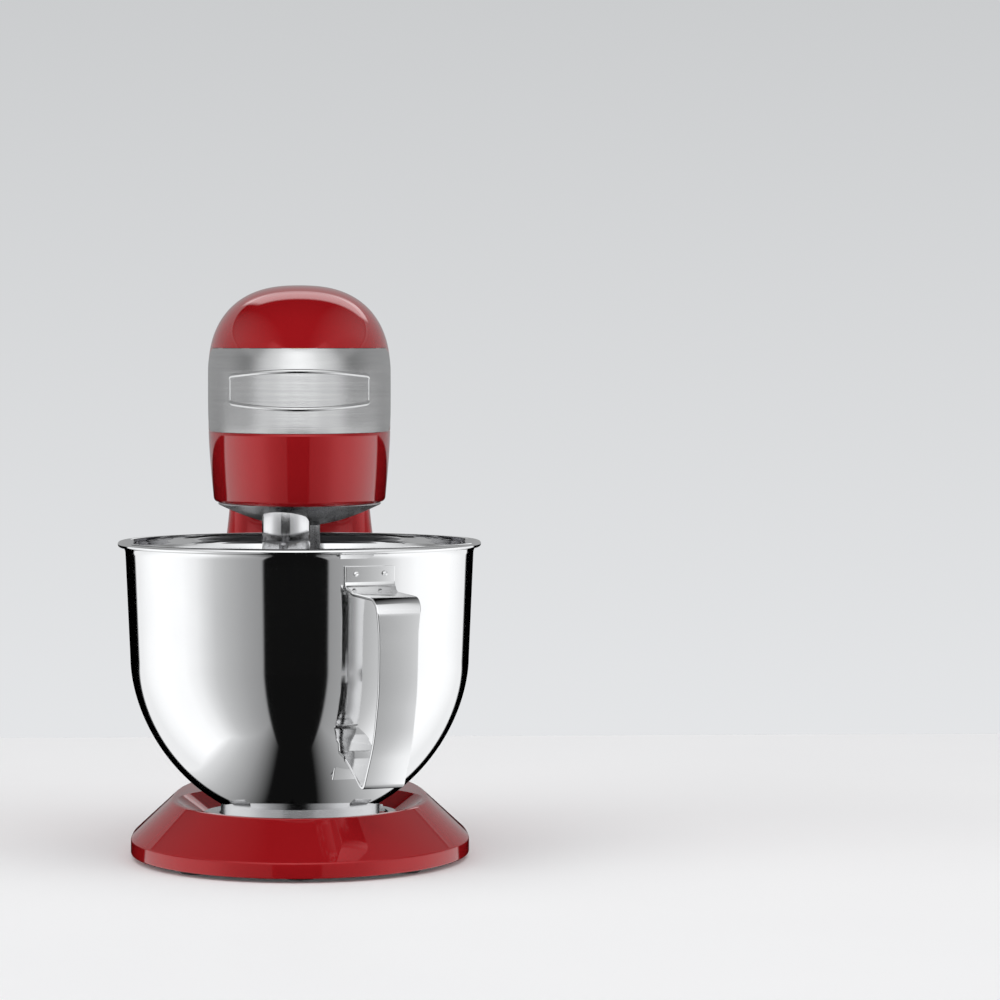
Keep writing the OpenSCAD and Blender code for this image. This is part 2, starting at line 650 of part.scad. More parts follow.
module gear_case() {
    color(grey_metal) difference() {
        union() {
            translate([0, 0, ring_z]) ring(ring_outer_r + 2.6, ring_outer_r + 0.1, deck_z - ring_z);
            translate([0, 0, deck_z]) cylinder(r = ring_outer_r + 2.6, h = deck_t);
            translate([0, 0, deck_z]) cylinder(r = 12, h = 12);
            translate([-18, 36, deck_z]) cube([36, 7, apex_z - deck_z]);
            along_y(36, apex_z) cylinder(r = 14, h = 7);
            translate([-18, case_back, deck_z]) cube([36, 7, counter_z - deck_z]);
            along_y(case_back, apex_z) cylinder(r = 14, h = 7);
            along_y(case_back, counter_z) cylinder(r = 12, h = 7);
            translate([-18, 40, deck_z]) cube([36, case_back - 36, deck_t]);
            translate([-18, -ring_outer_r - 14.6, deck_z]) cube([36, 30, deck_t]);
            for (p = case_screw_at) translate([p[0], p[1], head_z + floor_t + 0.02])
                cylinder(r = 5, h = deck_z - head_z - floor_t);
            along_y(36, counter_z) cylinder(r = 12, h = 7);
            translate([-10, 36, apex_z]) cube([20, 7, counter_z - apex_z]);
        }
        translate([0, 0, ring_z - 1]) cylinder(r = spindle_seat_r, h = 40);
        for (y = [36, case_back]) along_y(y - 1, apex_z) cylinder(r = bearing_r + 0.02, h = 9);
        for (y = [36, case_back]) along_y(y - 1, counter_z) cylinder(r = small_bearing_r + 0.02, h = 9);
        for (p = case_screw_at) translate([p[0], p[1], head_z]) cylinder(r = 1.7, h = 40);
    }
}
case_screw_at = [[-12, -ring_outer_r - 9.1], [12, -ring_outer_r - 9.1], [-12.5, 66], [12.5, 66]];
case_back = 72;
bearing_r = 8;
small_bearing_r = 7;
spindle_seat_r = 9;
counter_z = apex_z + 30; // the countershaft lies straight above the main shaft

module case_screws() {
    color(steel) for (p = case_screw_at) translate([p[0], p[1], deck_z + deck_t + 0.02]) screw(1.5, 20, 3, 1.6);
}

module ring_gear() {
    color(brass) translate([0, 0, ring_z]) difference() {
        linear_extrude(ring_h) difference() {
            circle(r = ring_outer_r, $fn = 96);
            spur_outline(ring_teeth, planet_module, 1.15 * planet_module, 0.85 * planet_module, -0.12);
        }
    }
}

module main_bearings() {
    color(brass) {
        for (y = [36, case_back]) along_y(y, apex_z) ring(bearing_r, shaft_r + run_fit, 7);
        for (y = [36, case_back]) along_y(y, counter_z) ring(small_bearing_r, counter_r + run_fit, 7);
        translate([0, 0, deck_z]) ring(spindle_seat_r - 0.02, spindle_r + run_fit, 12);
    }
}

spindle_r = 6;
spindle_top = apex_z - bevel_dist_gear + gear_face + 1;
carrier_top = ring_z - 0.5;
module spindle() {
    color(steel) translate([0, 0, head_z - 6]) cylinder(r = spindle_r, h = spindle_top - head_z + 6);
}

module bevel_gear() {
    color(steel) difference() {
        union() {
            translate([0, 0, apex_z - bevel_dist_gear]) bevel_body(bevel_teeth, pinion_teeth, bevel_module, gear_face);
            translate([0, 0, deck_z + 12.5]) cylinder(r = 13, h = apex_z - bevel_dist_gear - deck_z - 12);
            translate([0, 0, apex_z - bevel_dist_gear - 5]) cylinder(r = 24, h = 5.1);
        }
        translate([0, 0, deck_z]) cylinder(r = spindle_r + 0.01, h = 80);
    }
}

dome_r = opening_r - 1.5;
boss_gap = 0.325; // between the centre boss and the sleeve
boss_r = planet_offset - sleeve_r - boss_gap; // the boss under the middle of the dome
module planet_carrier() {
    dome_z = 209.5; // lowest point of the dome
    hub_low = rim_z - 6; // lowest point of the centre boss
    color(grey_metal) difference() {
        union() {
            rotate_extrude($fn = 96) polygon(concat(
                [[0, dome_z]],
                [for (k = [0:8]) [boss_r + (dome_r - boss_r) * k / 8, dome_z + (head_z - 1 - dome_z) * pow(k / 8, 1.5)]],
                [[dome_r, head_z + 1.5], [dome_r - 5, head_z + 3], [dome_r - 5, carrier_top - 0.5], [0, carrier_top - 0.5]]));
            translate([0, 0, hub_low]) cylinder(r = boss_r, h = dome_z - hub_low + 2);
        }
        translate([0, 0, hub_low + 6]) cylinder(r = spindle_r + 0.01, h = 60);
        rotate(planet_turn) translate([planet_offset, 0, 190]) cylinder(r = tool_shaft_r + 2 + run_fit, h = 60);
        rotate(planet_turn) translate([planet_offset, 0, 190]) cylinder(r = sleeve_r - 0.48, h = sleeve_top - 190);
    }
}

sleeve_top = 220;
module at_planet() { rotate(planet_turn) translate([planet_offset, 0, 0]) children(); }

// The bright sleeve hangs from the carrier round the tool shaft.
module drive_sleeve() {
    color(polished) at_planet() {
        translate([0, 0, sleeve_low]) ring(sleeve_r, sleeve_r - 1.5, carrier_skirt - sleeve_low);
        translate([0, 0, sleeve_low + 8]) ring(sleeve_r - 0.5, tool_shaft_r + 2, sleeve_top - sleeve_low - 8.2);
    }
}
sleeve_low = 176;
carrier_skirt = 209.3;

module planet_gear() {
    color(steel) at_planet() translate([0, 0, ring_z + 0.5]) difference() {
        linear_extrude(ring_h - 1) rotate(planet_mesh)
            spur_outline(planet_teeth, planet_module, 0.85 * planet_module, 1.1 * planet_module, 0.12);
        translate([0, 0, -1]) cylinder(r = tool_shaft_r + 0.01, h = 30);
    }
}
// A tooth of the planet points outwards into a gap of the ring.
ring_phase = planet_turn - round(planet_turn * ring_teeth / 360) * 360 / ring_teeth;
planet_mesh = -ring_phase * ring_teeth / planet_teeth;

tool_low = 158;
module tool_shaft() {
    color(steel) at_planet() {
        translate([0, 0, tool_low]) cylinder(r = tool_shaft_r, h = ring_z + ring_h - tool_low);
        translate([0, 0, carrier_top]) ring(tool_shaft_r + 4, tool_shaft_r - 0.5, 0.8);
        rotate(-planet_turn) along_y(-11, tool_low + 8) cylinder(r = 1.75, h = 22);
    }
}

// --- beater ----------------------------------------------------------------------------------

beater_low = 41.5; // lowest point, above the bowl's floor
beater_w = 96;
beater_t = 8;
beater_bar = 9;
beater_top = 150;
function beater_half(s) = beater_w / 2 * pow(sin(180 * pow(s, 0.62) * 0.86 + 12), 0.75);
beater_outline = let (n = 14) [for (k = [0:n]) let (s = k / n)
    [beater_half(s), beater_low + (beater_top - beater_low) * s]];

module beater_blade(shrink) {
    offset(delta = -shrink) polygon(concat(beater_outline,
        [for (i = [len(beater_outline) - 1:-1:0]) [-beater_outline[i][0], beater_outline[i][1]]]));
}

module flat_beater() {
    color(grey_metal) at_planet() rotate(-planet_turn) difference() {
        union() {
            rotate([90, 0, 0]) translate([0, 0, -beater_t / 2]) linear_extrude(beater_t) difference() {
                beater_blade(0);
                difference() {
                    beater_blade(beater_bar);
                    translate([-beater_bar / 2, 0]) square([beater_bar, 200]);
                    translate([-60, beater_low + 34]) square([120, 6]);
                    translate([-60, beater_low + 68]) square([120, 6]);
                }
            }
            translate([0, 0, beater_top - 14]) cylinder(r = 12.5, h = sleeve_low - 1 - beater_top + 14);
        }
        translate([0, 0, tool_low - 1]) cylinder(r = tool_shaft_r + run_fit, h = 40);
        // the bayonet slot that hooks on the shaft's cross pin
        translate([-2.2, -20, tool_low + 5.5]) cube([4.4, 40, 30]);
    }
}

// --- main shaft, countershaft and belt -------------------------------------------------------

counter_r = 3.5;
counter_teeth = 12;
spur_teeth = 48;
spur_y = 54;
spur_h = 8;
pulley_y = 84;
pulley_h = 12;
belt_t = 2.4;
motor_z = 268;
module main_shaft() {
    color(steel) {
        along_y(bevel_dist_pinion - pinion_face + 1, apex_z) cylinder(r = shaft_r, h = case_back + 9 - bevel_dist_pinion + pinion_face - 1);
        along_y(bevel_dist_pinion, apex_z) rotate([180, 0, 0]) bevel_pinion(pinion_mesh);
        along_y(bevel_dist_pinion - 0.1, apex_z) ring(11, shaft_r, 5);
    }
}

module spur_gear() {
    color(brass) along_y(spur_y, apex_z) difference() {
        linear_extrude(spur_h) rotate(180 / spur_teeth * 0 + 90) spur_outline(spur_teeth, 1, 0.85, 1.15, 0.14);
        translate([0, 0, -1]) cylinder(r = shaft_r + 0.01, h = 30);
    }
}

module countershaft() {
    color(steel) {
        along_y(33, counter_z) cylinder(r = counter_r, h = pulley_y + pulley_h + 4 - 33);
        along_y(spur_y - 0.5, counter_z) linear_extrude(spur_h + 1) rotate(90 + 180 / counter_teeth)
            spur_outline(counter_teeth, 1, 0.85, 1.1, 0.14);
    }
}

// A grooved pulley for the ribbed belt: rims at both ends and ribs round its face.
module ribbed_pulley(r, bore, h) {
    ribs = 5;
    pitch = (h - 3) / ribs;
    rotate_extrude($fn = 96) polygon(concat(
        [[bore, 0], [r + 1.6, 0], [r + 1.6, 1.5]],
        [for (k = [0:ribs - 1]) each [[r, 1.5 + k * pitch], [r - 1, 1.5 + (k + 0.5) * pitch]]],
        [[r, h - 1.5], [r + 1.6, h - 1.5], [r + 1.6, h], [bore, h]]));
}

module drive_pulley() { color(black) along_y(pulley_y, counter_z) ribbed_pulley(pulley_r, counter_r + 0.01, pulley_h); }
module motor_pulley() { color(steel) along_y(pulley_y, motor_z) ribbed_pulley(motor_pulley_r, rotor_shaft_r + 0.01, pulley_h); }

module belt_outline(grow) {
    hull() {
        circle(r = pulley_r + grow, $fn = 96);
        translate([0, counter_z - motor_z]) circle(r = motor_pulley_r + grow, $fn = 48);
    }
}

module drive_belt() {
    color(black) along_y(pulley_y + 1.5 + slip, counter_z) linear_extrude(pulley_h - 3 - 2 * slip) difference() {
        belt_outline(slip + belt_t);
        belt_outline(slip);
    }
}

// --- motor -----------------------------------------------------------------------------------

motor_y = 128; // front of the stator
stator_h = 38;
stator_half = 27;
winding_t = 5; // how far the windings stand out of the stator
rotor_shaft_r = 3;
rotor_r = 16;
bracket_t = 5;
front_bracket_y = 110;
back_bracket_y = 178;
module motor_stator() {
    color(dark) along_y(motor_y, motor_z) linear_extrude(stator_h) difference() {
        intersection() {
            square(2 * stator_half, center = true);
            circle(r = stator_half * 1.22);
        }
        circle(r = rotor_r + 0.8);
        for (side = [-1, 1]) translate([side * 19.5, 0]) square([5, 24], center = true);
        for (side = [-1, 1]) translate([side * 16, 22]) circle(r = 1.9 + slip);
    }
    color(copper) for (side = [-1, 1]) for (y = [motor_y - winding_t, motor_y + stator_h])
        translate([side * 20 - 3, y + 0.02 * sign(y - motor_y), motor_z - 13]) cube([6, winding_t, 26]);
}

module motor_brackets() {
    color(grey_metal) for (y = [front_bracket_y, back_bracket_y]) difference() {
        union() {
            along_y(y, motor_z) cylinder(r = 24, h = bracket_t);
            translate([-20, y, head_z + floor_t + 0.02]) cube([40, bracket_t, motor_z - head_z - floor_t]);
        }
        along_y(y - 1, motor_z) cylinder(r = rotor_shaft_r + run_fit, h = 20);
        for (side = [-1, 1]) along_y(y - 1, motor_z, side * 14) cylinder(r = 4.5, h = 20);
        for (side = [-1, 1]) along_y(y - 1, motor_z - 22, side * 16) cylinder(r = 2.1, h = 20);
    }
}

module bracket_screws() {
    length = back_bracket_y - front_bracket_y + bracket_t + 6;
    color(steel) for (side = [-1, 1]) along_y(front_bracket_y - 4, motor_z - 22, side * 16) {
        cylinder(r = 3.6, h = 3.9);
        cylinder(r = 1.9, h = length);
    }
}

commutator_y = 174.2;
module motor_brushes() {
    color(brass) for (side = [-1, 1]) translate([side * 18 - 7, commutator_y - 3, motor_z - 3]) difference() {
        cube([14, 6, 6]);
        translate([-1, 1, 1]) cube([16, 4, 4]);
    }
    color(black) for (side = [-1, 1]) translate([side > 0 ? 8.4 : -24.4, commutator_y - 1.9, motor_z - 1.9])
        cube([16, 3.8, 3.8]);
}

module motor_rotor() {
    color(steel) {
        along_y(pulley_y - 1, motor_z) cylinder(r = rotor_shaft_r, h = fan_y + 9 - pulley_y + 1);
        along_y(motor_y + 1, motor_z) linear_extrude(stator_h - 2) difference() {
            circle(r = rotor_r);
            for (a = [0:30:330]) rotate(a) translate([rotor_r - 2, -1]) square([4, 2]);
        }
    }
    color(copper) {
        along_y(motor_y - 6, motor_z) cylinder(r = 12, h = 7);
        along_y(commutator_y - 3.5, motor_z) cylinder(r = 8, h = 7);
    }
}

fan_y = 186;
module motor_fan() {
    color(black) along_y(fan_y, motor_z) {
        ring(22, rotor_shaft_r + 0.01, 1.6);
        ring(6, rotor_shaft_r + 0.01, 7);
        for (a = [0:30:330]) rotate(a) translate([5.5, -0.6, 0]) cube([16.2, 1.2, 7]);
    }
}

vent_z = 272;
vent_r = 19;
module rear_vent() {
    y = head_back - 12;
    color(black) along_y(y, vent_z) difference() {
        union() {
            cylinder(r = vent_r, h = 8);
            cylinder(r1 = vent_r, r2 = vent_r - 3, h = 11);
        }
        translate([0, 0, -1]) cylinder(r = vent_r - 3, h = 8);
        for (k = [-2:2]) translate([-(vent_r - 6) * cos(k * 22), k * 5.6 - 1.4, -1]) cube([2 * (vent_r - 6) * cos(k * 22), 2.8, 20]);
    }
}

// --- speed control ---------------------------------------------------------------------------

dial_r = 18;
dial_h = 9;
dial_y = 164;
dial_z = 292;
dial_lean = 27; // the head's side leans this much from straight ahead where the dial sits
dial_x = 42.2; // the head's side at the dial
module dial_place() { translate([dial_x, dial_y, dial_z]) rotate([0, 0, dial_lean]) rotate([0, 90, 0]) children(); }

module dial_bezel() {
    color(polished) dial_place() difference() {
        translate([0, 0, -5]) cylinder(r = dial_r + 1.6, h = 7);
        translate([0, 0, 0.5]) cylinder(r = dial_r + 0.5, h = 20);
        translate([0, 0, -10]) cylinder(r = 5, h = 30);
    }
}

module speed_dial() {
    color(dark) dial_place() {
        difference() {
            translate([0, 0, 0.8]) cylinder(r = dial_r, h = dial_h);
            for (a = [0:15:345]) rotate(a) translate([dial_r + 0.6, 0, 2]) cylinder(r = 1.3, h = 20, $fn = 16);
            translate([dial_r - 9, -0.9, dial_h + 0.2]) cube([7, 1.8, 3]);
        }
        translate([0, 0, -8]) cylinder(r = 3, h = 10);
    }
}

module speed_switch() {
    color(dark) dial_place() difference() {
        translate([0, 0, -11.5]) cylinder(r = 10, h = 6);
        translate([0, 0, -9]) cylinder(r = 3 + run_fit, h = 10);
    }
}

module control_board() {
    board = [54, 1.6, 40];
    translate([-27, 102, 300]) {
        color("seagreen") cube(board);
        color(black) translate([6, board[1], 8]) cube([12, 8, 16]);
        color(copper) translate([32, board[1] + 6, 20]) rotate([90, 0, 0]) ring(9, 4, 6);
        color(grey_metal) translate([22, board[1], 4]) cube([4, 10, 30]);
    }
}

// --- placing ---------------------------------------------------------------------------------

module placed() { translate([0, bowl_y, 0]) children(); }

placed() base_shell();
placed() base_plate();
placed() feet();
placed() base_screws();
placed() bowl_seat();
placed() seat_screws();
placed() pedestal();
placed() pedestal_bolts();
placed() cord_gland();
placed() hinge_pin();
placed() hinge_caps();
placed() lock_bolt();
placed() lock_spring();
placed() lock_lever();
placed() bowl();
placed() bowl_foot();
placed() bowl_handle();
placed() top_cover();
placed() lower_housing();
placed() housing_screws();
placed() front_band();
placed() band_backing();
placed() hub_socket();
placed() hinge_bushes();
placed() rear_vent();
placed() dial_bezel();
placed() speed_switch();
placed() speed_dial();
placed() gear_case();
placed() case_screws();
placed() ring_gear();
placed() main_bearings();
placed() hub_bearing();
placed() hub_shaft();
placed() spindle();
placed() bevel_gear();
placed() planet_carrier();
placed() drive_sleeve();
placed() planet_gear();
placed() tool_shaft();
placed() flat_beater();
placed() main_shaft();
placed() spur_gear();
placed() countershaft();
placed() drive_pulley();
placed() drive_belt();
placed() motor_stator();
placed() motor_brackets();
placed() bracket_screws();
placed() motor_brushes();
placed() motor_rotor();
placed() motor_fan();
placed() motor_pulley();
placed() control_board();
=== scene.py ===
import math

import bmesh
import bpy
from mathutils import Matrix, Vector


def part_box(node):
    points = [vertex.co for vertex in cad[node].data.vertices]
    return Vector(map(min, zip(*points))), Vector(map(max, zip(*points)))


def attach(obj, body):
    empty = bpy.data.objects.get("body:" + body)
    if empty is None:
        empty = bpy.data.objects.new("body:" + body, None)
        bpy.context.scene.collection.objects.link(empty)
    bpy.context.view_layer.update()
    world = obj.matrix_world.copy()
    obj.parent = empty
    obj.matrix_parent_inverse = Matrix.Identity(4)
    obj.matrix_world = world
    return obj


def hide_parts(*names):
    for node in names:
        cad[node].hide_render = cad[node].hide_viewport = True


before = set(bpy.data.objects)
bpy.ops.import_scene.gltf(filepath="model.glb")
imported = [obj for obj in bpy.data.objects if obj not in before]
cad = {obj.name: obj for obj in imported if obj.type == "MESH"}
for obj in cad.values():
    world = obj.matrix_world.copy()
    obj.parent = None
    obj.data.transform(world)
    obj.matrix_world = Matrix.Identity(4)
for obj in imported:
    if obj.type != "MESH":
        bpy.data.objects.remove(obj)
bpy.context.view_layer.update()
mixing_y = -0.0335  # the bowl and the planetary turn about this line


def point(x, y, z):
    """A place given from the mixing axis."""
    return (x, mixing_y + y, z)


def on_circle(radius, turn, centre=(0, 0)):
    return (centre[0] + radius * math.cos(turn), centre[1] + radius * math.sin(turn))


def placed(place, degrees, axis="X"):
    """The transform that turns a piece about its own axis, then moves it to its place."""
    return Matrix.Translation(place) @ Matrix.Rotation(math.radians(degrees), 4, axis)


def coat(finish, *nodes):
    """Puts a finish on CAD nodes that stay as they are."""
    for node in nodes:
        cad[node].material_slots[0].material = finish


def fitted(piece, finish, body, node):
    """Gives a piece its finish, the body it rides on and the CAD node that it stands for."""
    if finish:
        piece.data.materials.clear()
        piece.data.materials.append(finish)
    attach(piece, body)
    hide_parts(node)
    return piece


# --- Base casting ----------------------------------------------------------------------------
# One die-cast aluminium shell with an upright edge, a bevel and a dish that the bowl stands in.
# It is sprayed in deep red enamel with a clear coat, which leaves a faint orange-peel ripple.

base_half_width, base_front, base_back = 0.1065, 0.141, 0.204
foot_gap, edge_top, base_top = 0.0026, 0.0121, 0.036
base_bevel, dish_lip, dish_back = 0.026, 0.0025, 0.079
seat_floor, pocket_floor, seat_radius, pocket_radius = 0.026, 0.0205, 0.06075, 0.0565


def oval(half_width, front, back, front_power, back_power, z, steps=192, y=0.0):
    """A level ring of points round the mixing axis: one superellipse in front, another behind."""
    ring = []
    for k in range(steps):
        c, s = math.cos(math.tau * k / steps), math.sin(math.tau * k / steps)
        power, depth = (front_power, front) if s < 0 else (back_power, back)
        ring.append((half_width * math.copysign(abs(c) ** (2 / power), c),
                     y + depth * math.copysign(abs(s) ** (2 / power), s), z))
    return ring


def rounded(corners, arc_steps=6):
    """The corners (u, v, radius) of a profile, each drawn as an arc of its radius."""
    path = []
    for k, (u, v, radius) in enumerate(corners):
        if radius == 0 or k in (0, len(corners) - 1):
            path.append((u, v))
            continue
        here = Vector((u, v))
        before = (Vector(corners[k - 1][:2]) - here)
        after = (Vector(corners[k + 1][:2]) - here)
        a, b = before.normalized(), after.normalized()
        half = math.acos(max(-1, min(1, a.dot(b)))) / 2
        if half > math.pi / 2 - 0.01:
            path.append((u, v))
            continue
        reach = min(radius / math.tan(half), before.length * 0.49, after.length * 0.49)
        radius = reach * math.tan(half)
        centre = here + (a + b).normalized() * (radius / math.sin(half))
        start, end = here + a * reach - centre, here + b * reach - centre
        turn = math.atan2(start.x * end.y - start.y * end.x, start.dot(end))
        for i in range(arc_steps + 1):
            path.append(tuple(centre + Matrix.Rotation(turn * i / arc_steps, 2) @ start))
    return path


def mesh_piece(name, points, faces, crease=40):
    """A smooth mesh object, with its normals outwards and its edges sharp past the crease angle."""
    mesh = bpy.data.meshes.new(name)
    mesh.from_pydata(points, [], faces)
    mesh.validate()
    piece = bpy.data.objects.new(name, mesh)
    bpy.context.scene.collection.objects.link(piece)
    outward(piece, crease)
    return piece


def outward(piece, crease=40):
    """Merges doubled points, turns the normals outwards, and shades the piece smooth but for its edges."""
    shape = bmesh.new()
    shape.from_mesh(piece.data)
    bmesh.ops.remove_doubles(shape, verts=shape.verts, dist=1e-6)
    bmesh.ops.recalc_face_normals(shape, faces=shape.faces)
    shape.to_mesh(piece.data)
    shape.free()
    piece.data.shade_smooth()
    piece.data.set_sharp_from_angle(angle=math.radians(crease))


def lofted(name, rings, closed=False, crease=40):
    """Skin through a stack of rings. The ends are capped with fans, or the last ring joins the first."""
    steps = len(rings[0])
    points = [p for ring in rings for p in ring]
    faces = []
    for k in range(len(rings) - (0 if closed else 1)):
        low, high = k * steps, (k + 1) % len(rings) * steps
        for i in range(steps):
            j = (i + 1) % steps
            faces.append((low + i, low + j, high + j, high + i))
    if not closed:
        for first in (0, (len(rings) - 1) * steps):
            middle = sum((Vector(points[first + i]) for i in range(steps)), Vector()) / steps
            points.append(tuple(middle))
            for i in range(steps):
                faces.append((len(points) - 1, first + i, first + (i + 1) % steps))
    return mesh_piece(name, points, faces, crease)


class Wire:
    """A shader socket that Python's operators can do maths on; each operator adds its node."""

    def __init__(self, shader, socket):
        self.shader, self.socket = shader, socket

    def _math(self, operation, a, b=None):
        inputs = {0: a} if b is None else {0: a, 1: b}
        return self.shader.node("ShaderNodeMath", {"operation": operation}, inputs)

    def __add__(self, other): return self._math("ADD", self, other)
    def __sub__(self, other): return self._math("SUBTRACT", self, other)
    def __rsub__(self, other): return self._math("SUBTRACT", other, self)
    def __mul__(self, other): return self._math("MULTIPLY", self, other)
    def __gt__(self, other): return self._math("GREATER_THAN", self, other)
    def __lt__(self, other): return self._math("LESS_THAN", self, other)


class Finish:
    """One material, built node by node, ending in a Principled surface."""

    def __init__(self, name, **constants):
        self.material = bpy.data.materials.new(name)
        self.material.use_nodes = True
        self.tree = self.material.node_tree
        self.surface = self.tree.nodes["Principled BSDF"]
        for socket, value in constants.items():
            self.surface.inputs[socket.replace("_", " ")].default_value = value
        colour = self.surface.inputs["Base Color"].default_value
        self.material.diffuse_color = (colour[0], colour[1], colour[2], 1)

    def node(self, kind, settings=None, inputs=None, output=0):
        node = self.tree.nodes.new(kind)
        for key, value in (settings or {}).items():
            if key == "stops":
                ramp = node.color_ramp
                while len(ramp.elements) < len(value):
                    ramp.elements.new(0.5)
                for stop, (place, colour) in zip(ramp.elements, value):
                    stop.position, stop.color = place, colour
            else:
                setattr(node, key, value)
        for key, value in (inputs or {}).items():
            if isinstance(value, Wire):
                self.tree.links.new(value.socket, node.inputs[key])
            else:
                node.inputs[key].default_value = value
        return Wire(self, node.outputs[output])

    def place(self, stretch=(1, 1, 1)):
        """Where a point is on the piece, stretched to run a pattern one way."""
        at = self.node("ShaderNodeTexCoord", output="Object")
        return self.node("ShaderNodeMapping", inputs={"Vector": at, "Scale": stretch})

    def noise(self, scale, detail, stretch=(1, 1, 1), rough=0.5):
        return self.node("ShaderNodeTexNoise", inputs={
            "Vector": self.place(stretch), "Scale": scale, "Detail": detail, "Roughness": rough})

    def spread(self, value, low, high):
        """The value, moved from 0..1 to low..high."""
        return self.node("ShaderNodeMapRange", inputs={"Value": value, "To Min": low, "To Max": high})

    def mixed(self, factor, a, b):
        return self.node("ShaderNodeMix", {"data_type": "RGBA"}, {0: factor, 6: a, 7: b}, output=2)

    def feed(self, **links):
        for socket, wire in links.items():
            self.tree.links.new(wire.socket, self.surface.inputs[socket.replace("_", " ")])
        return self.material

    def ripple(self, height, strength, distance):
        return self.node("ShaderNodeBump", inputs={"Height": height, "Strength": strength, "Distance": distance})


def enamel_finish():
    paint = Finish("red_enamel", Base_Color=(0.40, 0.011, 0.016, 1), Roughness=0.14, Metallic=0.25, Coat_Weight=1.0,
                   Coat_Roughness=0.03, Coat_IOR=1.36, Specular_IOR_Level=0.0, Specular_Tint=(0.6, 0.2, 0.2, 1))
    cloud = paint.noise(9, 2)
    peel = paint.noise(520, 2)
    flake = paint.node("ShaderNodeTexVoronoi", inputs={"Vector": paint.place(), "Scale": 2600.0})
    return paint.feed(
        Base_Color=paint.mixed(cloud, (0.35, 0.009, 0.012, 1), (0.41, 0.012, 0.016, 1)),
        Roughness=paint.spread(flake, 0.10, 0.18),
        Normal=paint.ripple(peel, 0.02, 0.0004))


red_enamel = enamel_finish()


def base_ring(inset, z):
    return oval(base_half_width - inset, base_front - inset, base_back - inset, 2, 2.4, z, y=mixing_y)


def dish_ring(inset, z):
    half = base_half_width - base_bevel - dish_lip - inset
    return oval(half, base_front - base_bevel - dish_lip - inset, min(dish_back, half + inset + 0.001) - inset,
                2, 2, z, y=mixing_y)


def round_ring(radius, z):
    return oval(radius, radius, radius, 2, 2, z, y=mixing_y)


edge_path = rounded([(0.006, 0.011, 0), (0.006, foot_gap, 0.0004), (0, foot_gap, 0.0012), (0, edge_top, 0.0016),
                     (base_bevel, base_top, 0.0028), (base_bevel + dish_lip, base_top, 0)], 7)
dish_path = rounded([(0, base_top, 0), (0.0008, base_top, 0.0012), (0.015, seat_floor, 0.003),
                     (0.0165, seat_floor, 0)], 7)
base_casting = lofted("base_casting", [base_ring(0.030, 0.0135)] + [base_ring(u, v) for u, v in edge_path]
                      + [dish_ring(u, v) for u, v in dish_path]
                      + [round_ring(seat_radius, seat_floor), round_ring(pocket_radius, seat_floor),
                         round_ring(pocket_radius, pocket_floor), round_ring(0.01, pocket_floor)], crease=50)
fitted(base_casting, red_enamel, "base", "base_shell")

# --- Bottom plate, feet and screws -----------------------------------------------------------
# A moulded plate closes the casting from below. Five rubber feet are pulled through it, each with
# a grip ring underneath, and cross-recessed steel screws hold the plate.


def moulded_finish(name, colour, low, high, grain):
    plastic = Finish(name, Base_Color=(*colour, 1), Roughness=(low + high) / 2, Specular_IOR_Level=0.45)
    texture = plastic.noise(grain, 4)
    lift = tuple(min(1, c * 1.35 + 0.004) for c in colour)
    return plastic.feed(Base_Color=plastic.mixed(plastic.noise(35, 2), (*colour, 1), (*lift, 1)),
                        Roughness=plastic.spread(texture, low, high), Normal=plastic.ripple(texture, 0.25, 0.0003))


def metal_finish(name, colour, low, high, grain=900, depth=0.12):
    metal = Finish(name, Base_Color=(*colour, 1), Metallic=1.0, Roughness=(low + high) / 2)
    lines = metal.noise(grain, 3)
    dull = tuple(c * 0.86 for c in colour)
    return metal.feed(Base_Color=metal.mixed(metal.noise(22, 3), (*dull, 1), (*colour, 1)),
                      Roughness=metal.spread(lines, low, high), Normal=metal.ripple(lines, depth, 0.0002))


black_moulding = moulded_finish("black_moulding", (0.018, 0.018, 0.019), 0.5, 0.68, 1400)
foot_rubber = moulded_finish("foot_rubber", (0.012, 0.012, 0.012), 0.7, 0.88, 2600)
machined_steel = metal_finish("machined_steel", (0.56, 0.56, 0.57), 0.2, 0.36)
coat(black_moulding, "base_plate")

foot_places = [(-0.064, -0.088), (0.064, -0.088), (-0.058, 0.128), (0.058, 0.128), (0.0, -0.118)]
plate_screws = [(-0.072, -0.062), (0.072, -0.062), (-0.066, 0.096), (0.066, 0.096)]


def turned(name, profile, axis_y=mixing_y, axis_x=0.0, steps=128, crease=40):
    """A turned piece: the closed profile (radius, height) swept round an upright axis."""
    rings = [[(*on_circle(r, math.tau * i / steps, (axis_x, axis_y)), z) for i in range(steps)] for r, z in profile]
    return lofted(name, rings, closed=True, crease=crease)


def joined(name, parts):
    """Several finished parts as one object, in the first part's materials and then the others'."""
    with bpy.context.temp_override(active_object=parts[0], selected_editable_objects=parts, object=parts[0],
                                   selected_objects=parts):
        bpy.ops.object.join()
    parts[0].name = parts[0].data.name = name
    return parts[0]


feet = []
for x, y in foot_places:
    foot = turned("foot", rounded([
        (0.0002, 0.0004, 0), (0.0058, 0.0004, 0.0003), (0.0066, 0, 0.0002), (0.0072, 0.0006, 0.0002),
        (0.0078, 0, 0.0002), (0.0088, 0, 0.0006), (0.0098, 0.0019, 0.0003), (0.003, 0.00195, 0), (0.003, 0.0045, 0),
        (0.0044, 0.0045, 0.0004), (0.003, 0.0056, 0.0004), (0.0002, 0.0056, 0)], 3), mixing_y + y, x, 40, 60)
    feet.append(foot)
rubber_feet = joined("rubber_feet", feet)
fitted(rubber_feet, foot_rubber, "base", "feet")


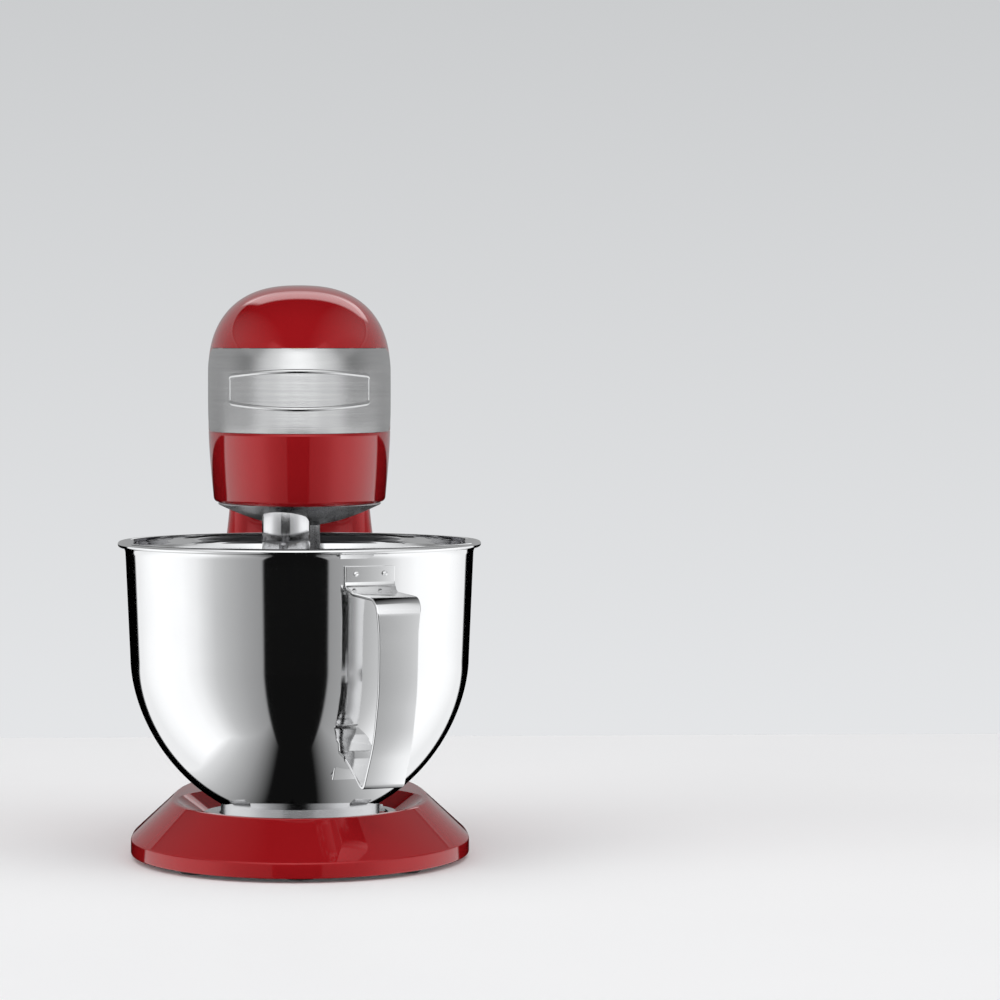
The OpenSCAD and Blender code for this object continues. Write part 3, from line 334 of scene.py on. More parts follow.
def copies_tree(name, numbers, shape):
    """Geometry nodes: one shape on every point of the input, realized, in one material."""
    tree = bpy.data.node_groups.new(name, "GeometryNodeTree")
    for label, kind in (("Points", "Geometry"), *numbers, ("Material", "Material")):
        tree.interface.new_socket(label, in_out="INPUT", socket_type="NodeSocket" + kind)
    tree.interface.new_socket("Copies", in_out="OUTPUT", socket_type="NodeSocketGeometry")
    given = tree.nodes.new("NodeGroupInput").outputs

    def add(kind, inputs=None, settings=None, output=0):
        node = tree.nodes.new(kind)
        for key, value in (settings or {}).items():
            setattr(node, key, value)
        for key, value in (inputs or {}).items():
            for source in value if isinstance(value, list) else [value]:
                if isinstance(source, bpy.types.NodeSocket):
                    tree.links.new(source, node.inputs[key])
                else:
                    node.inputs[key].default_value = source
        return node.outputs[output]

    spots = add("GeometryNodeMeshToPoints", {"Mesh": given["Points"]})
    copies = add("GeometryNodeInstanceOnPoints", {"Points": spots, **shape(add, given)})
    real = add("GeometryNodeRealizeInstances", {0: copies})
    painted = add("GeometryNodeSetMaterial", {"Geometry": real, "Material": given["Material"]})
    tree.links.new(painted, tree.nodes.new("NodeGroupOutput").inputs[0])
    return tree


def screw(add, given):
    """A pan head with a cross recess, on a plain shank."""
    def times(value, factor):
        return add("ShaderNodeMath", {0: value, 1: factor}, {"operation": "MULTIPLY"})

    def raised(mesh, z):
        return add("GeometryNodeTransform", {"Geometry": mesh, "Translation": add("ShaderNodeCombineXYZ", {"Z": z})})

    def cylinder(sides, radius, depth):
        return add("GeometryNodeMeshCylinder",
                   {"Vertices": sides, "Side Segments": 1, "Radius": radius, "Depth": depth})

    radius, high, length = given["Head Radius"], given["Head Height"], given["Shank Length"]
    arm, width = times(radius, 1.2), times(radius, 0.26)
    cross = []
    for x, y in ((arm, width), (width, arm)):
        size = add("ShaderNodeCombineXYZ", {"X": x, "Y": y, "Z": times(high, 1.2)})
        cross.append(raised(add("GeometryNodeMeshCube", {"Size": size}), times(high, 1.15)))
    head = add("GeometryNodeMeshBoolean",
               {"Mesh 1": raised(cylinder(28, radius, high), times(high, 0.5)), "Mesh 2": cross},
               {"operation": "DIFFERENCE"})
    shank = raised(cylinder(20, given["Shank Radius"], length), times(length, -0.5))
    return {"Instance": add("GeometryNodeJoinGeometry", {0: [head, shank]}),
            "Rotation": add("FunctionNodeAlignRotationToVector", {"Vector": given["Point Down"]}, {"axis": "Z"})}


def grown(name, seed_points, tree, values):
    """The plain mesh that a geometry-nodes tree makes on some points, with its named inputs set."""
    seed = bpy.data.meshes.new(name + "_points")
    seed.from_pydata(seed_points, [], [])
    holder = bpy.data.objects.new(name, seed)
    bpy.context.scene.collection.objects.link(holder)
    modifier = holder.modifiers.new(name, "NODES")
    modifier.node_group = tree
    for item in tree.interface.items_tree:
        if item.item_type == "SOCKET" and item.in_out == "INPUT" and item.name in values:
            modifier[item.identifier] = values[item.name]
    bpy.context.view_layer.update()
    made = bpy.data.meshes.new_from_object(holder.evaluated_get(bpy.context.evaluated_depsgraph_get()))
    made.name = name
    holder.modifiers.clear()
    holder.data = made
    outward(holder, 35)
    return holder


pan_head_screws = copies_tree("pan_head_screws", (
    ("Head Radius", "Float"), ("Head Height", "Float"), ("Shank Radius", "Float"), ("Shank Length", "Float"),
    ("Point Down", "Vector")), screw)


def screws(name, places, out, head, head_high, shank, length, body, node):
    piece = grown(name, [point(*place) for place in places], pan_head_screws, {
        "Head Radius": head, "Head Height": head_high, "Shank Radius": shank, "Shank Length": length,
        "Point Down": out, "Material": machined_steel})
    return fitted(piece, None, body, node)


plate_face = 0.00185
plate_screw_set = screws("plate_screws", [(x, y, plate_face) for x, y in plate_screws], (0, 0, -1),
                         0.0034, 0.0012, 0.00145, 0.009, "base", "base_screws")

# --- Bowl seat -------------------------------------------------------------------------------
# A stamped stainless ring, screwed to the dish, with three notches that the bowl's lugs drop
# through before a part turn locks them. It is brushed as it spins, so its grain runs round.

turned_steel = metal_finish("turned_steel", (0.60, 0.60, 0.61), 0.16, 0.3, grain=1500)
coat(turned_steel, "bowl_seat")
seat_edge, seat_face = 0.0606, 0.02762
seat_screw_radius = pocket_radius + (seat_edge - pocket_radius) / 2
seat_screw_set = screws("seat_screws_set", [
    (*on_circle(seat_screw_radius, math.radians(a)), seat_face)
    for a in (30, 120, 210, 300)], (0, 0, 1), 0.002, 0.001, 0.0013, 0.006, "base", "seat_screws")

# --- Pedestal --------------------------------------------------------------------------------
# A hollow die-cast column in the same enamel, bolted to the base from below. It narrows upwards
# into two ears, and the head's hinge lug sits in the slot between them.

hinge_y, hinge_z, hinge_radius = 0.165, 0.205, 0.005
pedestal_top, pedestal_wall, ear_gap, lug_radius = 0.222, 0.005, 0.052, 0.023
pedestal_half, pedestal_foot_half = 0.046, 0.076
lever_y, lever_z, tilt_limit, head_floor = 0.152, 0.158, 45, 0.223


def column_share(z):
    return (pedestal_top - z) / (pedestal_top - base_top)


def column_half(z):
    return pedestal_half + (pedestal_foot_half - pedestal_half) * max(0, column_share(z)) ** 1.25


def column_ring(z, inset):
    s = column_share(z)
    front = 0.124 + 0.010 * math.sin(math.pi * s) - 0.028 * max(0, s) ** 2
    back = 0.196 + 0.003 * s
    depth = (back - front) / 2 - inset
    return oval(column_half(z) - inset, depth, depth, 4.2, 3.4, z, 160, mixing_y + (front + back) / 2)


def levels(low, high, count):
    return [low + (high - low) * k / count for k in range(count + 1)]


def block(name, low, high):
    (x0, y0, z0), (x1, y1, z1) = low, high
    points = [(x, y, z) for x in (x0, x1) for y in (y0, y1) for z in (z0, z1)]
    return mesh_piece(name, points, [(0, 1, 3, 2), (4, 6, 7, 5), (0, 4, 5, 1), (2, 3, 7, 6), (0, 2, 6, 4),
                                     (1, 5, 7, 3)])


def rod(name, start, end, radius, steps=64):
    """A plain round bar between two points."""
    start, end = Vector(start), Vector(end)
    turn = (end - start).to_track_quat("Z", "Y")
    rings = [[tuple(at + turn @ Vector((*on_circle(radius, math.tau * i / steps), 0))) for i in range(steps)]
             for at in (start, end)]
    return lofted(name, rings)


def cut(piece, operation, cutters, crease=30):
    for cutter in cutters:
        modifier = piece.modifiers.new("cut", "BOOLEAN")
        modifier.operation, modifier.object, modifier.solver = operation, cutter, "EXACT"
        bpy.context.view_layer.update()
        made = bpy.data.meshes.new_from_object(piece.evaluated_get(bpy.context.evaluated_depsgraph_get()))
        piece.modifiers.clear()
        piece.data = made
        bpy.data.objects.remove(cutter)
    outward(piece, crease)
    return piece


def tilted(piece, degrees):
    """Turns a cutter about the hinge's axis."""
    hinge = Vector((0, mixing_y + hinge_y, hinge_z))
    piece.data.transform(Matrix.Translation(hinge) @ Matrix.Rotation(math.radians(-degrees), 4, "X")
                         @ Matrix.Translation(-hinge))
    return piece


pedestal_heights = levels(base_top + 0.0012, pedestal_top - 0.002, 44)
outer = [column_ring(base_top + 0.0001, 0.0008), column_ring(base_top + 0.0004, 0.0002)]
outer += [column_ring(z, 0) for z in pedestal_heights]
outer += [column_ring(pedestal_top - 0.0007, 0.0006), column_ring(pedestal_top, 0.002)]
inner = [column_ring(0.139, pedestal_wall + 0.004), column_ring(0.135, pedestal_wall)]
inner += [column_ring(z, pedestal_wall) for z in levels(0.130, base_top + 0.0001, 12)]
pedestal = lofted("pedestal_casting", list(reversed(outer)) + list(reversed(inner)), crease=35)
pedestal = cut(pedestal, "DIFFERENCE", [
    block("slot", point(-ear_gap / 2, hinge_y, hinge_z - lug_radius - 0.002), point(ear_gap / 2, 0.23, 0.28)),
    rod("lug_bed", point(-ear_gap / 2, hinge_y, hinge_z), point(ear_gap / 2, hinge_y, hinge_z), lug_radius + 0.002),
    block("slot_front", point(-ear_gap / 2, hinge_y - lug_radius - 0.002, hinge_z),
          point(ear_gap / 2, hinge_y + 0.001, 0.28)),
    *(tilted(block("tail_clearance", point(-0.1, hinge_y - 0.06, head_floor - 0.0012),
                   point(0.1, hinge_y + 0.1, 0.3)), a)
      for a in (tilt_limit / 2, tilt_limit)),
    block("back_clearance", point(-0.1, hinge_y, head_floor - 0.0012), point(0.1, 0.23, 0.28)),
    rod("pin_hole", point(-0.1, hinge_y, hinge_z), point(0.1, hinge_y, hinge_z), hinge_radius + 0.00002),
    rod("cap_seat_left", point(-0.053, hinge_y, hinge_z), point(-0.041, hinge_y, hinge_z), 0.009),
    rod("cap_seat_right", point(0.041, hinge_y, hinge_z), point(0.053, hinge_y, hinge_z), 0.009),
    rod("lever_hole", point(0, lever_y, lever_z), point(0.1, lever_y, lever_z), 0.00425),
    rod("bolt_way", point(0, hinge_y, 0.130), point(0, hinge_y, 0.190), 0.00425),
    block("crank_room", point(-0.009, lever_y - 0.009, 0.130), point(0.009, hinge_y + 0.009, 0.170))], 32)
fitted(pedestal, red_enamel, "base", "pedestal")
coat(machined_steel, "pedestal_bolts")

# --- Cord gland ------------------------------------------------------------------------------
# A rubber grommet with ribs in the back of the base, where the mains cord comes out.

gland_y, gland_z, gland_bore = base_back, 0.013, 0.0036
gland_profile = rounded([
    (gland_bore, -0.0125, 0), (0.0085, -0.0125, 0.0005), (0.0085, -0.0097, 0.0005), (0.0065, -0.0095, 0),
    (0.0065, 0.0001, 0), (0.0085, 0.0002, 0.0006), (0.0085, 0.0030, 0.0006), (0.0066, 0.0033, 0.0003),
    (0.0070, 0.0044, 0.0004), (0.0060, 0.0048, 0.0003), (0.0064, 0.0062, 0.0004), (0.0054, 0.0066, 0.0003),
    (0.0058, 0.0080, 0.0004), (gland_bore + 0.001, 0.0090, 0.0004), (gland_bore, 0.0090, 0)], 3)
gland = turned("cord_grommet", gland_profile, 0, 0, 64, 50)
gland.data.transform(placed(point(0, gland_y, gland_z), -90))
fitted(gland, foot_rubber, "base", "cord_gland")

# --- Hinge and head lock ---------------------------------------------------------------------
# A ground steel pin turns in bronze bushes, with a pressed chrome cap at each end. The lock is a
# sprung steel bolt, which a crank on the lever's shaft lifts into the hinge lug.

bright_chrome = metal_finish("bright_chrome", (0.78, 0.78, 0.79), 0.05, 0.10, grain=300, depth=0.02)
bronze = metal_finish("bearing_bronze", (0.50, 0.33, 0.15), 0.32, 0.48, grain=1600)
coat(machined_steel, "hinge_pin", "lock_bolt")
coat(bronze, "hinge_bushes")

caps = []
for side in (-1, 1):
    cap = turned("cap", rounded([
        (0.0002, 0, 0), (0.0089, 0, 0.0003), (0.0089, 0.0024, 0.0010), (0.0062, 0.0031, 0.0008),
        (0.0055, 0.0027, 0.0004), (0.0002, 0.0029, 0)], 5), 0, 0, 72)
    cap.data.transform(placed(point(side * 0.0426, hinge_y, hinge_z), side * 90, "Y"))
    caps.append(cap)
hinge_caps = joined("hinge_cap_pair", caps)
fitted(hinge_caps, bright_chrome, "base", "hinge_caps")


def spring_coil(add, given):
    """A wire wound along a spiral."""
    spiral = add("GeometryNodeCurveSpiral", {
        "Resolution": 28, "Rotations": given["Turns"], "Start Radius": given["Coil Radius"],
        "End Radius": given["Coil Radius"], "Height": given["Length"]})
    wire = add("GeometryNodeCurvePrimitiveCircle", {"Resolution": 12, "Radius": given["Wire Radius"]})
    return {"Instance": add("GeometryNodeCurveToMesh", {"Curve": spiral, "Profile Curve": wire, "Fill Caps": True})}


wound_spring = copies_tree("wound_spring", (
    ("Coil Radius", "Float"), ("Wire Radius", "Float"), ("Length", "Float"), ("Turns", "Float")), spring_coil)
spring_low, spring_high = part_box("lock_spring")
spring_wire = 0.0005
spring_middle = (spring_low + spring_high) / 2
lock_spring = grown("lock_spring_coil", [(spring_middle.x, spring_middle.y, spring_low.z + spring_wire)],
                    wound_spring, {
    "Coil Radius": 0.003, "Wire Radius": spring_wire, "Turns": 4.0,
    "Length": spring_high.z - spring_low.z - 2 * spring_wire, "Material": machined_steel})
fitted(lock_spring, None, "base", "lock_spring")

lever_face = column_half(lever_z)


def outline_plate(name, outline, thickness, edge, place):
    """A flat plate with round edges: its outline (u, v) is drawn in the plate's own plane, then placed."""
    steps = 5
    rows = [(edge * (1 - math.sin(a)), edge * (1 - math.cos(a)))
            for a in (math.pi / 2 * k / steps for k in range(steps + 1))]
    rows += [(inset, thickness - high) for inset, high in reversed(rows)]
    rings = []
    for inset, high in rows:
        ring = []
        for k, (u, v) in enumerate(outline):
            before, after = Vector(outline[k - 1]), Vector(outline[(k + 1) % len(outline)])
            along = (after - before).normalized()
            inward = Vector((-along.y, along.x))
            ring.append(tuple(place @ Vector((u + inward.x * inset, v + inward.y * inset, high))))
        rings.append(ring)
    return lofted(name, rings, crease=50)


def capsule(radius_a, radius_b, length, steps=20):
    """A lever's outline: a large round end and a small one."""
    lean = math.asin((radius_a - radius_b) / length)
    outline = []
    for k in range(steps + 1):
        a = math.pi / 2 - lean + (math.pi + 2 * lean) * k / steps
        outline.append(on_circle(radius_a, a))
    for k in range(steps + 1):
        a = -math.pi / 2 - lean + (math.pi - 2 * lean) * (k / steps) + 2 * lean
        outline.append(on_circle(radius_b, a, (length, 0)))
    return outline


arm_turn = Matrix(((0, 0, 1, 0), (1, 0, 0, 0), (0, 1, 0, 0), (0, 0, 0, 1)))  # plate's u, v, thickness to Y, Z, X
lever_seat = placed(point(lever_face + 0.0025, lever_y, lever_z), 35) @ arm_turn
crank_seat = placed(point(-0.007, lever_y, lever_z), -20)
crank_end = crank_seat @ Vector((0, 0.013, 0))
lever_parts = [
    outline_plate("arm", capsule(0.0098, 0.0048, 0.034), 0.0062, 0.0022, lever_seat),
    rod("shaft", point(-0.007, lever_y, lever_z), point(lever_face + 0.004, lever_y, lever_z), 0.004),
    outline_plate("crank", capsule(0.0045, 0.0033, 0.013), 0.0026, 0.0003, crank_seat @ arm_turn),
    rod("crank_pin", crank_end, crank_end + Vector((0.0076, 0, 0)), 0.002, 32)]
lock_lever = joined("lock_lever_arm", lever_parts)
fitted(lock_lever, bright_chrome, "lock_lever", "lock_lever")

# --- Head covers -----------------------------------------------------------------------------
# Two enamelled die castings that meet along the band's lower edge: a domed cover, and a housing
# that carries the works and ends in the hinge lug. Both are cut back round the front band.

head_half, head_front, head_back, head_mid = 0.0575, 0.088, 0.213, 0.020
head_top, crown_z, belly_z, crown_shift, head_wall = 0.360, 0.305, 0.270, 0.026, 0.003
band_z, band_height, band_end, seam = 0.268, 0.052, 0.012, 0.00015
vent_z, vent_radius = 0.272, 0.019
dial_place = (Matrix.Translation(point(0.0422, 0.164, 0.292)) @ Matrix.Rotation(math.radians(27), 4, "Z")
              @ Matrix.Rotation(math.pi / 2, 4, "Y"))


def head_share(z, top):
    if z > crown_z:
        return max(0, 1 - ((z - crown_z) / (top - crown_z)) ** 2.3) ** 0.4
    return 1 - 0.06 * ((belly_z - z) / (belly_z - head_floor)) ** 1.5 if z < belly_z else 1


def head_ring(z, inset, steps=192):
    share = head_share(z, head_top - inset)
    lean = crown_shift * ((z - crown_z) / (head_top - crown_z)) ** 2 if z > crown_z else 0
    return oval((head_half - inset) * share, (head_front + head_mid - inset) * share,
                (head_back - head_mid - inset) * share, 2.1, 2.3, z, steps, mixing_y + head_mid + lean)


def head_front_y(x, out=0.0):
    """Where the front of the head is, behind a point of its face."""
    share = abs(x) / (head_half + out)
    return mixing_y + head_mid - (head_front + head_mid + out) * (1 - share ** 2.1) ** (1 / 2.1)


def crown_heights(top, count):
    return [crown_z + (top - crown_z) * math.sin(math.pi / 2 * k / (count + 0.15)) for k in range(1, count + 1)]


def band_slot(name, grow):
    """The band's outline from the side, as a bar right through the head."""
    radius = band_height / 2 + grow
    centre = (mixing_y + band_end - band_height / 2, band_z + band_height / 2)
    outline = [(mixing_y - 0.3, band_z - grow)]
    outline += [on_circle(radius, math.pi * (k / 48 - 0.5), centre) for k in range(49)]
    outline.append((mixing_y - 0.3, band_z + band_height + grow))
    return lofted(name, [[(x, y, z) for y, z in outline] for x in (-0.1, 0.1)])


def vent_hole():
    return rod("vent_hole", point(0, 0.17, vent_z), point(0, 0.24, vent_z), vent_radius + seam)


cover_rings = [head_ring(z, head_wall) for z in reversed(crown_heights(head_top - head_wall, 14))]
cover_rings += [head_ring(z, head_wall) for z in levels(crown_z, band_z + seam, 4)]
cover_rings += [head_ring(band_z + seam, 0.0006), head_ring(band_z + seam + 0.0002, 0.00018),
                head_ring(band_z + seam + 0.0006, 0)]
cover_rings += [head_ring(z, 0) for z in levels(band_z + 0.002, crown_z, 12)]
cover_rings += [head_ring(z, 0) for z in crown_heights(head_top, 40)]
dial_hole = rod("dial_hole", dial_place @ Vector((0, 0, -0.02)), dial_place @ Vector((0, 0, 0.02)), 0.01975)
top_cover = cut(lofted("domed_cover", cover_rings, crease=30), "DIFFERENCE", [
    band_slot("band_slot", seam), dial_hole,
    vent_hole()], 30)

floor_depth = 0.004
housing_rings = [head_ring(head_floor + floor_depth, head_wall + 0.01)]
housing_rings += [head_ring(z, head_wall) for z in levels(head_floor + floor_depth, band_z, 6)]
housing_rings += [head_ring(band_z, 0.0006), head_ring(band_z - 0.0002, 0.00018), head_ring(band_z - 0.0006, 0)]
housing_rings += [head_ring(z, 0) for z in levels(band_z - 0.002, head_floor + 0.003, 16)]
housing_rings += [head_ring(head_floor + 0.003 * (1 - math.sin(a)), 0.003 * (1 - math.cos(a))) for a in
                  (math.pi / 2 * k / 8 for k in range(1, 9))]
housing_rings += [head_ring(head_floor, 0.012)]
housing = lofted("lower_casting", housing_rings, crease=30)
lugs = []
for side in (-1, 1):
    middle_x = side * 0.014
    lugs.append(rod("lug", point(middle_x - 0.009, hinge_y, hinge_z), point(middle_x + 0.009, hinge_y, hinge_z),
                    lug_radius, 96))
    lugs.append(block("lug_root", point(middle_x - 0.009, hinge_y - 0.016, hinge_z),
                      point(middle_x + 0.009, hinge_y + 0.016, head_floor + 0.002)))
housing = cut(housing, "UNION", lugs)
bolt_holes = [tilted(rod("bolt_hole", point(0, hinge_y, hinge_z - lug_radius - 0.005),
                         point(0, hinge_y, hinge_z - lug_radius + 0.009), 0.00425), -a) for a in (0, tilt_limit)]
housing_screws = [(-0.040, 0.062), (0.040, 0.062), (-0.032, 0.138), (0.032, 0.138)]
screw_wells = [rod("well", point(x, y, head_floor - 0.001), point(x, y, head_floor + 0.002), 0.0036)
               for x, y in housing_screws]
housing = cut(housing, "DIFFERENCE", [
    rod("planetary_hole", (0, mixing_y, head_floor - 0.001), (0, mixing_y, head_floor + 0.02), 0.0525, 160),
    rod("pin_hole", point(-0.04, hinge_y, hinge_z), point(0.04, hinge_y, hinge_z), hinge_radius + 0.0025),
    *bolt_holes, band_slot("band_slot", seam),
    vent_hole(), *screw_wells], 30)
fitted(top_cover, red_enamel, "head", "top_cover")
fitted(housing, red_enamel, "head", "lower_housing")
screws("housing_screw_set", [(x, y, head_floor + 0.00198) for x, y in housing_screws], (0, 0, -1),
       0.0032, 0.0016, 0.0015, 0.010, "head", "housing_screws")

# --- Gear case and drive train ---------------------------------------------------------------
# Hobbed steel gears on ground shafts turn in sintered bronze sleeves. A grey alloy case holds
# them over the planetary's ring gear. A ribbed rubber belt drives the countershaft.

cast_alloy = metal_finish("cast_alloy", (0.43, 0.43, 0.44), 0.34, 0.5, grain=700, depth=0.3)
hardened_steel = metal_finish("hardened_steel", (0.42, 0.42, 0.44), 0.24, 0.4, grain=1300)
belt_rubber = moulded_finish("belt_rubber", (0.015, 0.015, 0.016), 0.6, 0.8, 1800)
for finish, nodes in (
        (cast_alloy, ("gear_case", "hub_socket")), (bronze, ("main_bearings", "hub_bearing")),
        (hardened_steel, ("ring_gear", "bevel_gear", "planet_gear", "spur_gear")),
        (machined_steel, ("spindle", "main_shaft", "hub_shaft", "countershaft")),
        (black_moulding, ("drive_pulley",)), (belt_rubber, ("drive_belt",))):
    coat(finish, *nodes)
case_screws = [(-0.012, -0.0585), (0.012, -0.0585), (-0.0125, 0.066), (0.0125, 0.066)]
screws("case_screw_set", [(x, y, 0.24502) for x, y in case_screws], (0, 0, 1), 0.003, 0.0016, 0.0015, 0.020,
       "head", "case_screws")

# --- Motor -----------------------------------------------------------------------------------
# A universal motor: stacked steel laminations with enamelled copper windings, carbon brushes in
# brass holders, and a moulded fan behind that draws air through the rear vent.


def laminated_finish():
    steel = Finish("motor_laminations", Base_Color=(0.30, 0.30, 0.32, 1), Metallic=1.0, Roughness=0.45)
    sheets = steel.node("ShaderNodeTexWave", {"wave_type": "BANDS", "bands_direction": "Y"},
                        {"Vector": steel.place(), "Scale": 320.0, "Distortion": 0.0})
    return steel.feed(Base_Color=steel.mixed(sheets, (0.16, 0.16, 0.18, 1), (0.36, 0.36, 0.38, 1)),
                      Roughness=steel.spread(sheets, 0.55, 0.35), Normal=steel.ripple(sheets, 0.4, 0.0002))


def board_finish():
    board = Finish("circuit_board", Base_Color=(0.02, 0.12, 0.05, 1), Roughness=0.35, Coat_Weight=0.4)
    tracks = board.node("ShaderNodeTexBrick", {"offset": 0.4}, {
        "Vector": board.place(), "Scale": 130.0, "Mortar Size": 0.03, "Color1": (0.014, 0.10, 0.04, 1),
        "Color2": (0.02, 0.14, 0.06, 1), "Mortar": (0.05, 0.26, 0.11, 1)})
    return board.feed(Base_Color=tracks)


for finish, nodes in (
        (laminated_finish(), ("motor_stator", "motor_rotor")), (cast_alloy, ("motor_brackets",)),
        (bronze, ("motor_brushes",)), (machined_steel, ("bracket_screws", "motor_pulley")),
        (black_moulding, ("motor_fan", "speed_switch")), (board_finish(), ("control_board",))):
    coat(finish, *nodes)

# --- Rear vent -------------------------------------------------------------------------------
# A black moulded grille, pressed into the back of the head, with level slats across its mouth.


def slat(add, given):
    """A level slat, as long as the mouth is wide at its height."""
    def maths(operation, a, b=0.0):
        return add("ShaderNodeMath", {0: a, 1: b}, {"operation": operation})

    apart = add("ShaderNodeVectorMath", {0: add("GeometryNodeInputPosition"), 1: given["Centre"]},
                {"operation": "SUBTRACT"})
    rise = maths("ABSOLUTE", add("ShaderNodeSeparateXYZ", {0: apart}, output=2))
    half = maths("SQRT", maths("SUBTRACT", maths("POWER", given["Mouth Radius"], 2.0), maths("POWER", rise, 2.0)))
    size = add("ShaderNodeCombineXYZ", {
        "X": maths("MULTIPLY", half, 2.0), "Y": given["Slat Depth"], "Z": given["Slat Height"]})
    return {"Instance": add("GeometryNodeMeshCube", {"Size": (1, 1, 1)}), "Scale": size}


vent_front = head_back - 0.012
vent_rim = turned("vent_rim", rounded([
    (0.0162, 0, 0), (vent_radius, 0, 0.0002), (vent_radius, 0.0078, 0.0004), (0.0172, 0.0108, 0.0008),
    (0.0160, 0.0106, 0.0006), (0.0155, 0.0075, 0)], 4), 0, 0, 96)
vent_rim.data.transform(placed(point(0, vent_front, vent_z), -90))
vent_rim.data.materials.append(black_moulding)
vent_mouth = point(0, vent_front + 0.0052, vent_z)
slats = grown("vent_slat_set", [(0, vent_mouth[1], vent_z + k * 0.0044) for k in range(-3, 4)], copies_tree(
    "vent_slats", (("Mouth Radius", "Float"), ("Slat Height", "Float"), ("Slat Depth", "Float"),
                   ("Centre", "Vector")), slat), {
        "Mouth Radius": 0.0161, "Slat Height": 0.0017, "Slat Depth": 0.005, "Centre": vent_mouth,
        "Material": black_moulding})
vent = joined("vent_grille", [vent_rim, slats])
fitted(vent, None, "head", "rear_vent")

# --- Speed dial ------------------------------------------------------------------------------
# A gloss-black moulded knob with finger ribs round its skirt, a recessed face and a white pointer
# line. It turns in a chromed bezel on the side of the head.

dial_radius, dial_high = 0.018, 0.009
knob_gloss = moulded_finish("knob_gloss", (0.020, 0.020, 0.022), 0.16, 0.26, 1100)
pointer_white = moulded_finish("pointer_white", (0.72, 0.72, 0.70), 0.4, 0.5, 900)


def rib(add, given):
    """A round bar that stands upright."""
    return {"Instance": add("GeometryNodeMeshCylinder", {
        "Vertices": 12, "Radius": given["Rib Radius"], "Depth": given["Rib Length"]})}


knob = turned("knob", rounded([
    (0.0002, -0.008, 0), (0.003, -0.008, 0.0004), (0.003, 0.0008, 0), (dial_radius, 0.0008, 0.0004),
    (dial_radius - 0.0006, 0.0086, 0.0012), (0.0150, dial_high + 0.0008, 0.0010),
    (0.0138, dial_high + 0.0002, 0.0006), (0.0136, 0.0078, 0.0008), (0.0002, 0.0080, 0)], 5), 0, 0, 96, 60)
knob.data.materials.append(knob_gloss)
rib_ring, rib_middle, rib_count = dial_radius - 0.0006, 0.0046, 30
ribs = grown("ribs", [
    (*on_circle(rib_ring, math.tau * k / rib_count), rib_middle)
    for k in range(rib_count)], copies_tree("finger_ribs", (("Rib Radius", "Float"), ("Rib Length", "Float")), rib), {
        "Rib Radius": 0.00072, "Rib Length": 0.0066, "Material": knob_gloss})
pointer = block("pointer", (0.0060, -0.0007, 0.0070), (0.0132, 0.0007, 0.0084))
pointer.data.materials.append(pointer_white)
speed_knob = joined("speed_knob", [knob, ribs, pointer])
speed_knob.data.transform(dial_place)
fitted(speed_knob, None, "speed_dial", "speed_dial")

bezel = turned("knob_bezel", rounded([
    (0.005, -0.005, 0), (0.0196, -0.005, 0.0002), (0.0196, 0.0018, 0.0006), (0.0189, 0.0020, 0.0003),
    (0.0185, 0.0006, 0.0002), (0.005, 0.0005, 0)], 5), 0, 0, 128)
bezel.data.transform(dial_place)
fitted(bezel, bright_chrome, "head", "dial_bezel")

# --- Front band ------------------------------------------------------------------------------
# A strip of stainless steel, brushed along its length, bent round the nose with half-round ends.
# A blank barrel-shaped badge outline is pressed up in it. It slides off the attachment hub.


def brushed_finish():
    steel = Finish("brushed_band", Base_Color=(0.62, 0.62, 0.62, 1), Metallic=1.0, Roughness=0.3, Anisotropic=0.35)
    grain = steel.noise(1.0, 4, (28, 28, 5200), rough=0.65)
    streak = steel.noise(1.0, 2, (9, 9, 420))
    return steel.feed(Base_Color=steel.mixed(streak, (0.55, 0.55, 0.555, 1), (0.68, 0.68, 0.675, 1)),
                      Roughness=steel.spread(grain, 0.15, 0.27), Normal=steel.ripple(grain, 0.16, 0.0001))


brushed_steel = brushed_finish()
band_proud, band_thick = 0.0003, 0.0012
band_heights = levels(band_z, crown_z, 12) + levels(crown_z + 0.0015, band_z + band_height, 9)
shell = [head_ring(z, -band_proud, 288) for z in band_heights]
shell += [head_ring(z, band_thick, 288) for z in reversed(band_heights)]
band = cut(lofted("nose_band", shell, closed=True, crease=30), "INTERSECT", [band_slot("band_outline", -0.0001)], 30)

badge_half, badge_high, badge_end, bead_half, bead_high, bead_deep = 0.0428, 0.0116, 0.0084, 0.0013, 0.0008, 0.0004
badge_z = band_z + band_height / 2 + 0.0005


def divided(path, longest):
    """A path's points and more between them, none further apart than this. The last one is left out."""
    fine = []
    for (ua, va), (ub, vb) in zip(path, path[1:]):
        parts = max(1, round(math.hypot(ub - ua, vb - va) / longest))
        fine += [(ua + (ub - ua) * k / parts, va + (vb - va) * k / parts) for k in range(parts)]
    return fine


def badge_edge():
    arch = [(badge_half * (1 - 2 * k / 24), badge_end + (badge_high - badge_end) * (1 - (1 - 2 * k / 24) ** 2))
            for k in range(25)]
    corners = [(x, z, 0.0048 if k in (0, 24) else 0) for k, (x, z) in enumerate(arch)]
    corners += [(-x, -z, r) for x, z, r in corners]
    return divided(rounded([(badge_half, 0, 0)] + corners + [(badge_half, 0, 0)], 7), 0.0014)


